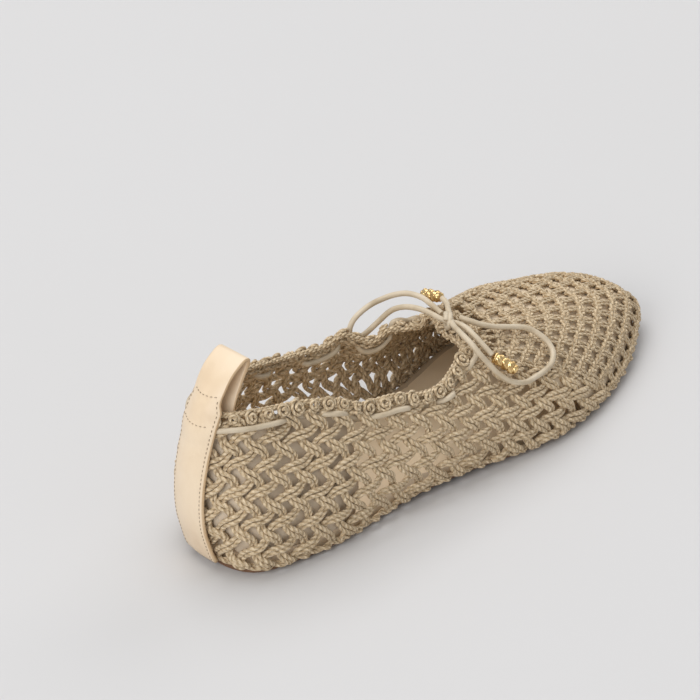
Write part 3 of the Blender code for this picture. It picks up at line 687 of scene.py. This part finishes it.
# Where the weave and the rounds meet: shares of the toe over which each sinks inside, and how far
WEAVE_FADE = (0.25, 0.55)
WEAVE_SINK = 1.4
WEAVE_END = 0.49  # turn where the weave ends at the latest
ROUND_FADE = (0.30, 0.60)
ROUND_SINK = 1.2
POST_FROM = 0.4
RIDGE_YARN = 0.74
RIDGE_WIDE = 1.30  # half width of the braid's middle
RIDGE_DEEP = 0.50
RIDGE_WAVE = 0.06  # how far a ridge waves, in rounds
RIDGE_STEPS = 10
RIDGE_HANDS = 3
POST_RADIUS = 0.62
POST_SPREAD = 0.80  # half distance of the two yarns of a post
POST_TIP = 0.72  # share of it at the post's ends
POST_BOW = 0.35  # how far a post bows out
POST_REACH = 0.40  # half length of a post, in rounds
POST_STEPS = 9


def camera_axes():
    """Directions across the photo's view, up it and into it."""
    heading = math.radians(CAMERA_HEADING)
    elevation = math.radians(CAMERA_ELEVATION)
    ahead = np.array([math.cos(heading), math.sin(heading), 0.0])
    across = np.array([math.sin(heading), -math.cos(heading), 0.0])
    up = ahead * math.sin(elevation) + UP * math.cos(elevation)
    into = ahead * math.cos(elevation) - UP * math.sin(elevation)
    return across, up, into


def toe_share(turns, heights):
    """0 at the sides and heel, 1 at the toe."""
    away = 0.5 - np.abs(np.mod(turns, 1.0) - 0.5)
    start = TOE_START + TOE_SHIFT * TOE_ROUNDS * (1.0 - heights)
    return smooth_step(start, start + TOE_BLEND, away)


def weave_table(side):
    """Column and row of the weave at each grid place of a side."""
    flip = np.array([1.0, side, 1.0])
    across, up, _ = (axis * flip for axis in camera_axes())
    ring = np.arange(GRID_TURNS // 2 + 1) * side % GRID_TURNS
    points = LAST_POINTS[:, ring]
    start = (points[:, 0] @ across).min()
    place = points @ across - start
    fine = np.linspace(0.0, place.max(), GRID_TURNS)
    share = 1.0 if side > 0 else MEDIAL_SHARE
    half = share * np.interp(fine, MESH_PLACES, HALF_MESHES)
    counted = np.concatenate([[0.0], np.cumsum(np.diff(fine) * 2.0 / (half[1:] + half[:-1]))])
    row_height = share * np.interp(place, MESH_PLACES, ROW_HEIGHTS)
    rows = (points - np.array(LEVEL_PLACE) * flip) @ up / row_height
    columns = np.interp(place, fine, counted) - LEAN * rows
    return np.stack([columns, rows], axis=-1)


WEAVE_TABLES = {side: weave_table(side) for side in SIDES.values()}


def weave_place(columns, rows, side):
    """Turns and heights of places in the weave of a side, by a coarse search and finer steps."""
    table = WEAVE_TABLES[side]
    coarse = table[::COARSE, ::COARSE]
    wanted = np.column_stack([columns, rows])
    away = ((wanted[:, None, :] - coarse.reshape(1, -1, 2)) ** 2).sum(axis=2)
    row, col = np.unravel_index(away.argmin(axis=1), coarse.shape[:2])
    row = row.astype(float) * COARSE
    col = col.astype(float) * COARSE
    for _ in range(FINE_STEPS):
        low = np.clip(row.astype(int), 0, table.shape[0] - 2)
        left = np.clip(col.astype(int), 0, table.shape[1] - 2)
        base = table[low, left]
        by_row = table[low + 1, left] - base
        by_col = table[low, left + 1] - base
        miss = wanted - base
        area = by_row[:, 0] * by_col[:, 1] - by_row[:, 1] * by_col[:, 0]
        area = np.where(np.abs(area) < LEAST_AREA, LEAST_AREA, area)
        row = low + np.clip((miss[:, 0] * by_col[:, 1] - miss[:, 1] * by_col[:, 0]) / area, -COARSE, COARSE)
        col = left + np.clip((by_row[:, 0] * miss[:, 1] - by_row[:, 1] * miss[:, 0]) / area, -COARSE, COARSE)
    return np.mod(side * col / GRID_TURNS, 1.0), row / (table.shape[0] - 1)


def runs(inside, least):
    """Slices of each unbroken run that is long enough."""
    edges = np.flatnonzero(np.diff(np.concatenate([[0], inside.astype(int), [0]])))
    return [slice(start, end) for start, end in zip(edges[::2], edges[1::2]) if end - start >= least]


def work_strand(tubes, start, hand, side):
    """A slanting pair of yarns, over the crossing strand in every other row and under it in the next."""
    at = np.arange(*ROW_SPAN, 1.0 / STEPS)
    swing = BAR_BIAS * np.sin(np.pi * at) / np.pi
    over = hand * np.cos(np.pi * at)
    wander = sum(reach * np.sin(wave * at + shift * start) for reach, wave, shift in WANDERS)
    turns, heights = weave_place(start + hand * at + swing - wander, at - hand * swing + wander, side)
    toe = toe_share(turns, np.clip(heights, 0.0, 1.0))
    away = 0.5 - np.abs(turns - 0.5)
    keep = (heights > NET_FOOT) & (heights < NET_TOP) & (away > SEAM_TURN) & (away < WEAVE_END)
    keep = keep & (toe < WEAVE_FADE[1]) & ((turns < 0.5) if side > 0 else (turns > 0.5))
    lift = CROSS_DEPTH * over - NET_DEPTH - WEAVE_SINK * smooth_step(*WEAVE_FADE, toe)
    for part in runs(keep, STEPS // 2):
        line, normals = on_last(turns[part], heights[part], lift[part])
        across = beside(line, normals)
        spread = YARN_RADIUS * (PAIR_SPREAD + PAIR_OPEN * over[part])
        swell = PAIR_SWELL * over[part] + SWELL_SIZE * np.sin(SWELL_SHIFT * start + SWELL_WAVE * at[part])
        for yarn in (-1, 1):
            lumps = LUMP_SIZE * np.sin(LUMP_WAVE * np.pi * at[part] + LUMP_SHIFT * yarn + start)
            thick = YARN_RADIUS * (1.0 + swell + lumps)
            tubes.add(line + across * (yarn * spread)[:, None], normals, thick, YARN_SIDES)


def toe_round(number):
    """Turns along a round of the toe, with the half meshes counted from the toe's middle."""
    turns = np.linspace(*TOE_TURNS, TOE_SAMPLES)
    far = lengths_along(on_last(turns, np.full(TOE_SAMPLES, 1.0 - number / TOE_ROUNDS))[0])
    return turns, (far - np.interp(0.5, turns, far)) / TOE_HALF_MESH


def work_ridge(tubes, number):
    """A braided ridge along one round of the toe."""
    turns, places = toe_round(number + 0.5)
    at = np.arange(places[0], places[-1], 1.0 / RIDGE_STEPS)
    turns = np.interp(at, places, turns)
    heights = 1.0 - (number + 0.5 + RIDGE_WAVE * np.cos(np.pi * (at + number))) / TOE_ROUNDS
    toe = toe_share(turns, heights)
    sink = ROUND_SINK * (1.0 - smooth_step(*ROUND_FADE, toe))
    for part in runs(toe > ROUND_FADE[0], RIDGE_STEPS):
        line, normals = on_last(turns[part], heights[part], -NET_DEPTH - sink[part])
        across = beside(line, normals)
        for hand in range(RIDGE_HANDS):
            angle = np.pi * at[part] + 2 * np.pi * hand / RIDGE_HANDS
            offset = across * (RIDGE_WIDE * np.sin(angle))[:, None]
            offset = offset + normals * (RIDGE_DEEP * np.sin(2 * angle))[:, None]
            tubes.add(line + offset, normals, RIDGE_YARN, YARN_SIDES - 1)


def work_posts(tubes, number):
    """Posts of two yarns at the toe that join a ridge to the next."""
    line_turns, places = toe_round(number)
    spots = np.arange(2 * math.ceil(places[0] / 2) + number % 2, places[-1], 2.0)
    at = np.linspace(-1.0, 1.0, POST_STEPS)
    bow = np.cos(at * np.pi / 2)
    spread = POST_SPREAD * (POST_TIP + (1.0 - POST_TIP) * bow)
    heights = 1.0 - (number + at * POST_REACH) / TOE_ROUNDS
    for turn in np.interp(spots, places, line_turns):
        if toe_share(turn, heights[POST_STEPS // 2]) < POST_FROM:
            continue
        line, normals = on_last(np.full(POST_STEPS, turn), heights, POST_BOW * bow - NET_DEPTH)
        across = beside(line, normals)
        for hand in (-1, 1):
            tubes.add(line + across * (hand * spread)[:, None], normals, POST_RADIUS, YARN_SIDES - 1)


# Hem of the net, a thin rope of yarns along its foot
HEM_LIFT = -1.2
HEM_HEIGHT = 0.6  # over the foot of the net
HEM_YARN = 0.74
HEM_WIND = 0.70
HEM_HANDS = 2
HEM_PITCH = 11.0
HEM_STEPS = 1100
HEM_WAVE = 0.55  # how far the hem's scallops rise and fall
HEM_SWAY = 0.4  # how far they go in and out
HEM_SCALLOP = 9.0


def work_hem(tubes):
    """Yarns wound round a scalloped line along the foot of the net."""
    turns = np.linspace(SEAM_TURN, 1.0 - SEAM_TURN, HEM_STEPS)
    foot, _ = on_last(turns, np.zeros(HEM_STEPS))
    wave = np.sin(2 * np.pi * lengths_along(foot) / HEM_SCALLOP)
    ribs = np.interp(turns, np.arange(GRID_TURNS + 1) / GRID_TURNS, np.append(RIB_LENGTHS, RIB_LENGTHS[0]))
    line, normals = on_last(turns, (HEM_HEIGHT + HEM_WAVE * wave) / ribs, HEM_LIFT + HEM_SWAY * wave)
    across = beside(line, normals)
    far = lengths_along(line)
    for hand in range(HEM_HANDS):
        angle = 2 * np.pi * (far / HEM_PITCH + hand / HEM_HANDS)
        tubes.add(line + turned(angle, normals, across) * HEM_WIND, normals, HEM_YARN, YARN_SIDES)


def work_net():
    """The weave of each side, the toe's ridges and posts, and the hem."""
    for name, side in SIDES.items():
        for slant, hand in (("rising", 1), ("falling", -1)):
            tubes = Tubes()
            for start in STRAND_STARTS[slant]:
                work_strand(tubes, start, hand, side)
            tubes.piece(f"net_{name}_{slant}", YARN)
    half = TOE_ROUNDS // 2
    for name, work, numbers in (("net_toe_ridges_upper", work_ridge, range(half)),
                                ("net_toe_ridges_lower", work_ridge, range(half, TOE_ROUNDS)),
                                ("net_toe_posts", work_posts, range(1, TOE_ROUNDS))):
        tubes = Tubes()
        for number in numbers:
            work(tubes, number)
        tubes.piece(name, YARN)
    hem = Tubes()
    work_hem(hem)
    hem.piece("net_hem", YARN)
    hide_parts("upper")


# Rolled collar: spiral beads of yarn, each a little unlike the next

BEAD_DROP = 2.7  # middle of the beads under the collar's edge
BEAD_LIFT = 0.3
BEAD_PITCH = 6.8
BEAD_REACH = 2.7
BEAD_END = 0.18  # share of the reach at the spiral's inner end
BEAD_TALL = 1.05
BEAD_BULGE = 1.1
BEAD_TURNS = 1.6
BEAD_ROLL = 0.37  # turns that a bead is rolled on from the one before
BEAD_STEPS = 34
BEAD_YARN = 0.68
BEAD_NEAR = 0.004  # turns to the places that give a bead's direction
# Size of the beads: how much it varies, waves over the beads, and their shift
BEAD_SIZES = ((0.12, 2.4, 0.0), (0.08, 5.3, 1.0))
BEAD_TILT = 0.5
TILT_WAVES = (1.7, 2.9)
# Rims of wound yarns: drop, lift, yarns
RIMS = ((1.0, -1.0, 3), (4.2, -1.5, 2))
RIM_YARN = 0.62
RIM_STEPS = 12


def collar_line(drop, lift, count=None):
    """Turns and heights at even distances round the collar, by count or a bead's pitch apart."""
    turns = np.arange(GRID_TURNS) / GRID_TURNS
    heights = 1.0 - drop / RIB_LENGTHS
    line, _ = on_last(turns, heights, lift)
    far = lengths_along(np.vstack([line, line[:1]]))
    count = count or int(round(far[-1] / BEAD_PITCH))
    even = np.interp(np.arange(count) / count * far[-1], far, np.append(turns, 1.0))
    return even, np.interp(even, turns, heights)


def work_bead(tubes, number, spot, out, across):
    """One spiral bead of the collar."""
    at = np.linspace(0.0, 1.0, BEAD_STEPS)
    angle = 2 * np.pi * (BEAD_TURNS * at + BEAD_ROLL * number)
    size = 1.0 + sum(share * math.sin(wave * number + shift) for share, wave, shift in BEAD_SIZES)
    reach = BEAD_REACH * size * (1.0 - (1.0 - BEAD_END) * at)
    swirl = reach[:, None] * turned(angle, across, np.cross(out, across) * BEAD_TALL)
    ahead, above = (number * wave for wave in TILT_WAVES)
    tilt = BEAD_TILT * (math.sin(ahead) * np.cos(angle) + math.cos(above) * np.sin(angle))
    bulge = BEAD_BULGE * at + tilt * (1.0 - at)
    tubes.add(spot + swirl + bulge[:, None] * out, out, BEAD_YARN, YARN_SIDES)


def work_collar():
    """Spiral beads of yarn round the collar, and two wound rims."""
    tubes = Tubes()
    turns, heights = collar_line(BEAD_DROP, 0.0)
    spots, normals = on_last(turns, heights, BEAD_LIFT)
    ahead, _ = on_last(turns + BEAD_NEAR, heights)
    behind, _ = on_last(turns - BEAD_NEAR, heights)
    for number, bead in enumerate(zip(spots, normals, unit(ahead - behind))):
        work_bead(tubes, number, *bead)
    steps = len(turns) * RIM_STEPS
    for drop, lift, hands in RIMS:
        rim, normals = on_last(*collar_line(drop, lift, steps), lift)
        across = beside(rim, normals, closed=True)
        for hand in range(hands):
            angle = 2 * np.pi * (np.arange(steps) / RIM_STEPS + hand / hands)
            wound = rim + turned(angle, across, normals) * RIM_YARN
            tubes.add(wound, normals, RIM_YARN, YARN_SIDES, closed=True)
    piece = tubes.piece("collar_beads", YARN)


# Drawstring in and out of the net, as spans of turns where it lies outside

CORD_BARS = ((0.016, 0.070), (0.102, 0.122), (0.151, 0.200), (0.250, 0.274), (0.312, 0.365), (0.44, 0.56),
             (0.620, 0.675), (0.722, 0.748), (0.800, 0.849), (0.878, 0.898), (0.930, 0.984))
CORD_DIVE = 0.010
CORD_SIDES = 12
CORD_STEPS = 620
CORD_INSIDE = -3.4
CORD_PRESS = 0.5  # how far it presses into the net where it lies outside


def work_drawstring():
    """The drawstring round the collar, outside the net along its bars and inside it between them."""
    turns, heights = collar_line(CORD_DROP, 0.0, CORD_STEPS)
    share = np.zeros(CORD_STEPS)
    for start, end in CORD_BARS:
        bar = (start - CORD_DIVE, start + CORD_DIVE, end - CORD_DIVE, end + CORD_DIVE)
        share = np.maximum(share, hill(bar, turns))
    outside = CORD_LIFT + CORD / 2 - CORD_PRESS
    cord, normals = on_last(turns, heights, CORD_INSIDE + (outside - CORD_INSIDE) * share)
    tubes = Tubes()
    tubes.add(cord, normals, CORD / 2, CORD_SIDES, closed=True)
    piece = tubes.piece("drawstring_woven", LEATHER["cream_cord"])
    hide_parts("drawstring")


# Bow

ROUTE_SAMPLES = 40
BOW_SPACING = 0.8
BOW_ROUND = 4  # bevel resolution of the cord


def smooth_route(points, spacing):
    """Evenly spaced points on a smooth curve through a route's own points."""
    points = np.array(points, float)
    chords = np.linalg.norm(np.diff(points, axis=0), axis=1)
    knots = np.concatenate([[0.0], np.cumsum(np.sqrt(chords))])
    curve = open_spline(knots, points, np.linspace(0.0, knots[-1], ROUTE_SAMPLES * len(points)))
    length = lengths_along(curve)
    return points_at(np.linspace(0.0, length[-1], int(round(length[-1] / spacing)) + 1), length, curve)


def bow_cord(name, route):
    """A round cord along a route, as one open spline."""
    points = smooth_route(route, BOW_SPACING)
    curve = bpy.data.curves.new(name, "CURVE")
    curve.dimensions = "3D"
    curve.bevel_depth = CORD / 2 * MM
    curve.bevel_resolution = BOW_ROUND
    curve.use_fill_caps = True
    spline_line = curve.splines.new("POLY")
    spline_line.points.add(len(points) - 1)
    for point, place in zip(spline_line.points, to_frame(points)):
        point.co = (*place, 1.0)
    return add_object(name, curve, LEATHER["cream_cord"])


# Turned profile of an end cap: place along it, radius
CAP_PROFILE = ((0.0, 1.3), (0.3, 1.7), (1.0, 2.0), (3.7, 2.05), (7.0, 2.1), (9.4, 2.05), (10.2, 1.8),
               (10.7, 1.2), (11.0, 0.5))
CAP_SIDES = 40
CAP_RINGS = 60
CAP_LUMPS = 5  # lumps round the cap
CAP_SPIRAL = 0.8  # how fast they wind round along it
CAP_LUMP_LENGTH = 2.6
CAP_LUMP_DEPTH = 0.19
CAP_STAGGER = 0.7  # how far rows of lumps wave


def end_cap(name, start, aim, node):
    """A gold cap of nuggets with grooves between them."""
    axis = unit(np.array(aim) - start)
    along = np.linspace(0.0, CAP_PROFILE[-1][0], CAP_RINGS)[:, None]
    angle = np.arange(CAP_SIDES) * 2 * np.pi / CAP_SIDES
    round_lump = np.abs(np.sin(CAP_LUMPS * angle / 2 + CAP_SPIRAL * along))
    long_lump = np.abs(np.cos(np.pi * along / CAP_LUMP_LENGTH + CAP_STAGGER * np.sin(2 * angle)))
    waved = 1.0 - CAP_LUMP_DEPTH + 2 * CAP_LUMP_DEPTH * np.sqrt(round_lump * long_lump)
    tubes = Tubes()
    tubes.add(start + axis * along, UP, np.interp(along, *zip(*CAP_PROFILE)) * waved, CAP_SIDES)
    piece = tubes.piece(name, GOLD)
    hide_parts(node)
    return piece


# Wraps of the knot: axis, radii across it and up, run along it, turns and where they start, cord's share
KNOT_AXIS = (0.75, -0.62, -0.10)
KNOT_RADII = (3.0, 2.5)
KNOT_RUN = 2.6
KNOT_TURNS = 1.75
KNOT_START = 0.1
KNOT_CORD = 0.95
KNOT_STEPS = 64


def work_knot():
    """The cord's wraps round the knot."""
    axis = unit(np.array(KNOT_AXIS))
    across = unit(np.cross(axis, UP))
    rise = np.cross(across, axis)
    at = np.linspace(0.0, 1.0, KNOT_STEPS)
    ring = turned(2 * np.pi * (KNOT_TURNS * at + KNOT_START), across * KNOT_RADII[0], rise * KNOT_RADII[1])
    wrap = KNOT_CENTRE + ring + ((at - 0.5) * KNOT_RUN)[:, None] * axis
    tubes = Tubes()
    tubes.add(wrap, axis, CORD / 2 * KNOT_CORD, CORD_SIDES)
    knot = tubes.piece("bow_knot_wraps", LEATHER["cream_cord"])
    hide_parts("bow_knot")


def work_bow():
    """Two cords, the wraps of the knot and the gold caps."""
    lateral_cap = end_cap("gold_cap_lateral", *LATERAL_CAP, "end_cap_lateral")
    medial_cap = end_cap("gold_cap_medial", *MEDIAL_CAP, "end_cap_medial")
    lateral = bow_cord("bow_cord_lateral", LATERAL_LOOP + OVER_KNOT + MEDIAL_END)
    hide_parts("bow_loop_lateral", "cord_end_medial")
    medial = bow_cord("bow_cord_medial", MEDIAL_LOOP + UNDER_KNOT + LATERAL_END)
    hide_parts("bow_loop_medial", "cord_end_lateral")
    work_knot()


# Heel tab

TAB_LINES = 27  # points across the tab
TAB_STEPS = 150  # points along it
TAB_ROUND = 0.75  # rounding of its edges
TAB_THIN = 0.92  # how full that rounding is, with 1 for a half round
TAB_CUT = 0.60  # width of bare cut leather along the edges
HEEL_REACH = 0.06
HEEL_SAMPLES = 121


def across_heel(height, offsets):
    """Points and normals on the heel at one height, at distances across it from its centre line."""
    turns = np.linspace(-HEEL_REACH, HEEL_REACH, HEEL_SAMPLES)
    points, normals = on_last(turns, np.full(HEEL_SAMPLES, height))
    distance = lengths_along(points)
    distance = distance - np.interp(0.0, turns, distance)
    return points_at(offsets, distance, points), unit(points_at(offsets, distance, normals))


def tab_grid(offsets):
    """Middle points of the tab, from the sole up the heel, round the loop and down inside."""
    rows = []
    for height, lift in TAB_RISE:
        place, normal = across_heel(height, offsets)
        rows.append(place + normal * (TAB_LIFT + TAB_THICK / 2 + lift))
    collar, _ = across_heel(1.0, offsets)
    centre = collar[TAB_LINES // 2]
    for ahead, above, curve in LOOP:
        x = centre[0] + ahead + curve * (collar[:, 0] - centre[0])
        z = centre[2] + above + curve * (collar[:, 2] - centre[2])
        rows.append(np.column_stack([x, collar[:, 1], z]))
    rows = np.array(rows)
    knots = lengths_along(rows[:, TAB_LINES // 2])
    grid = open_spline(knots, rows.reshape(len(rows), -1), np.linspace(0.0, knots[-1], TAB_STEPS))
    return grid.reshape(TAB_STEPS, TAB_LINES, 3)


def sheet_faces(rows, cols):
    """Quads of a closed sheet: two sides of a grid and the rims that join them."""
    def strip(first, second):
        return np.column_stack([first[:-1], first[1:], second[1:], second[:-1]])

    outer = np.arange(rows * cols).reshape(rows, cols)
    inner = outer + rows * cols
    quads = [strip(*lines) for lines in zip(outer[:-1], outer[1:])]
    quads += [strip(*lines) for lines in zip(inner[1:], inner[:-1])]
    quads += [strip(outer[:, 0], inner[:, 0]), strip(inner[:, -1], outer[:, -1])]
    quads += [strip(inner[0], outer[0]), strip(outer[-1], inner[-1])]
    return np.vstack(quads)


def sheet_piece(name, outer, inner, material):
    """A sheet between two grids of points."""
    points = np.concatenate([outer.reshape(-1, 3), inner.reshape(-1, 3)])
    return new_mesh(name, points, sheet_faces(*outer.shape[:2]), material)


STITCH_PITCH = 1.8
STITCH_LENGTH = 1.15
STITCH_RADIUS = 0.17
STITCH_TIP = 0.45  # share of the radius at its ends
STITCH_BOW = 0.22  # how far its middle rises over its ends, and how deep those lie
STITCH_SINK = 0.12
STITCH_STEPS = 7
STITCH_SIDES = 6
TAB_STITCH_INSET = 1.6
TAB_CROSS_LINES = (59.0, 70.5)  # places of the two lines across the tab, along it from the sole


def sew(tubes, line, normals):
    """Stitches along a line on a surface, each dipping in at its ends."""
    far = lengths_along(line)
    bow = np.sin(np.linspace(0.0, np.pi, STITCH_STEPS))
    radius = STITCH_RADIUS * (STITCH_TIP + (1.0 - STITCH_TIP) * bow)
    for start in np.arange(STITCH_PITCH / 2, far[-1] - STITCH_LENGTH, STITCH_PITCH):
        at = start + np.linspace(0.0, STITCH_LENGTH, STITCH_STEPS)
        out = unit(points_at(at, far, normals))
        lift = out * (STITCH_BOW * bow - STITCH_SINK)[:, None]
        tubes.add(points_at(at, far, line) + lift, out, radius, STITCH_SIDES)


def work_heel_tab():
    """The leather tab and its stitches."""
    # Places across the tab, closer together at its edges
    offsets = np.sin(np.linspace(-np.pi / 2, np.pi / 2, TAB_LINES)) * TAB_WIDTH / 2
    grid = tab_grid(offsets)
    normals = unit(np.cross(np.gradient(grid, axis=1), np.gradient(grid, axis=0)))
    edge = np.clip((np.abs(offsets) - (TAB_WIDTH / 2 - TAB_ROUND)) / TAB_ROUND, 0.0, 1.0)
    half = normals * (TAB_THICK / 2 * np.sqrt(1.0 - TAB_THIN * edge ** 2))[:, None]
    piece = sheet_piece("heel_tab_leather", grid + half, grid - half, LEATHER["natural_leather"])
    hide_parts("heel_tab")
    piece.data.materials.append(LEATHER["cut_leather"])
    at_edge = np.abs(offsets[1:] + offsets[:-1]) / 2 > TAB_WIDTH / 2 - TAB_CUT
    slots = np.ones(len(piece.data.polygons), int)
    slots[:2 * (TAB_STEPS - 1) * (TAB_LINES - 1)] = np.tile(at_edge, 2 * (TAB_STEPS - 1))
    piece.data.polygons.foreach_set("material_index", slots)

    face = grid + normals * TAB_THICK / 2
    far = lengths_along(grid[:, TAB_LINES // 2])
    lines = [np.argmin(np.abs(far - place)) for place in TAB_CROSS_LINES]
    tubes = Tubes()
    for side in (-1, 1):
        col = np.argmin(np.abs(offsets - side * (TAB_WIDTH / 2 - TAB_STITCH_INSET)))
        sew(tubes, face[:lines[1], col], normals[:lines[1], col])
    inner = np.abs(offsets) < TAB_WIDTH / 2 - TAB_STITCH_INSET
    for row in lines:
        sew(tubes, face[row, inner], normals[row, inner])
    stitches = tubes.piece("heel_tab_stitches", THREAD)


# Linings behind the net: turns, lowest and highest height, depth, thickness, leather

LININGS = {
    "heel_lining": ((-0.100, 0.125), (0.10, 0.90), 3.4, 0.9, "lining_leather"),
    "toe_lining": ((0.350, 0.635), (0.06, 0.76), 2.45, 0.8, "toe_lining_leather"),
}
LINING_STEPS = (160, 60)
# Foot lining from the net's foot up over the sole's edge to the insole: inwards from that foot, and above it
FOOT_PROFILE = ((2.05, 0.2), (2.08, 0.8), (2.2, 1.6), (2.7, 2.5), (3.7, 3.1), (5.1, 3.35), (6.9, 3.2))
FOOT_THICK = 0.25


def work_linings():
    """The linings of heel and toe, and the band that closes the net's foot."""
    for name, (turns, heights, depth, thick, leather) in LININGS.items():
        places = np.meshgrid(np.linspace(*turns, LINING_STEPS[0]), np.linspace(*heights, LINING_STEPS[1]))
        outer, _ = on_last(*places, -depth)
        inner, _ = on_last(*places, -depth - thick)
        piece = sheet_piece(name, outer, inner, LEATHER[leather])
    turns = np.linspace(0.0, 1.0, GRID_TURNS // 2 + 1)
    foot, _ = on_last(turns, np.zeros(len(turns)))
    _, outward = ribs_at(turns)
    outer = np.array([foot - outward * inwards + UP * above for inwards, above in FOOT_PROFILE])
    inner = outer - (outward + UP) * FOOT_THICK
    # Its leather is painted dark, as painted shade at the net's foot
    piece = sheet_piece("foot_lining", outer, inner, LEATHER["shaded_foot_lining_leather"])


# Floor, light and camera, in metres

FLOOR_SIZE = 6.0
# Soft lights: direction from the shoe, distance, size, power
LIGHTS = {
    "top": ((0.02, 0.30, 1.0), 4.0, 3.4, 84.0),
    "heel": ((-1.0, -0.28, 0.60), 5.0, 2.6, 110.0),
    "toe": ((1.0, 0.20, 0.60), 5.0, 3.0, 46.0),
}
LIGHT_AIM = (0.0, 0.0, 0.03)
WORLD_LIGHT = 0.44
CAMERA_NEAR = 0.1


def look_at(thing, place, aim):
    """Stands a light or camera at a place, aimed at a point, upright."""
    bpy.context.collection.objects.link(thing)
    thing.location = place
    thing.rotation_euler = (Vector(aim) - Vector(place)).to_track_quat("-Z", "Y").to_euler()


def set_stage():
    """A pale floor, soft lights and an even pale sky."""
    half = FLOOR_SIZE / 2
    corners = [(-half, -half, 0.0), (half, -half, 0.0), (half, half, 0.0), (-half, half, 0.0)]
    mesh = bpy.data.meshes.new("floor")
    mesh.from_pydata(corners, [], [(0, 1, 2, 3)])
    mesh.materials.append(floor_material())
    floor = bpy.data.objects.new("floor", mesh)
    bpy.context.collection.objects.link(floor)

    for name, (source, distance, size, power) in LIGHTS.items():
        light = bpy.data.lights.new(name, "AREA")
        light.size = size
        light.energy = power
        look_at(bpy.data.objects.new(name, light), unit(np.array(source)) * distance, LIGHT_AIM)

    world = bpy.data.worlds.new("studio")
    bpy.context.scene.world = world
    world.use_nodes = True
    sky = world.node_tree.nodes["Background"]
    sky.inputs["Color"].default_value = (1.0, 1.0, 1.0, 1.0)
    sky.inputs["Strength"].default_value = WORLD_LIGHT
    bpy.context.scene.view_settings.view_transform = "Standard"


def set_camera():
    """The camera at the photo's angle."""
    data = bpy.data.cameras.new("camera")
    data.lens = CAMERA_LENS
    data.sensor_width = CAMERA_SENSOR
    data.clip_start = CAMERA_NEAR
    camera = bpy.data.objects.new("camera", data)
    aim = to_frame(CAMERA_AIM)
    look_at(camera, aim - camera_axes()[2] * CAMERA_DISTANCE * MM, aim)
    bpy.context.scene.camera = camera


def dress_node(node, material):
    """A better material on a CAD node that stays."""
    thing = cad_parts[node]
    thing.data.materials.clear()
    thing.data.materials.append(material)


set_camera()
work_bow()
work_drawstring()
work_net()
work_collar()
work_heel_tab()
work_linings()
dress_node("outsole", LEATHER["sole_leather"])
dress_node("insole", LEATHER["insole_leather"])
set_stage()
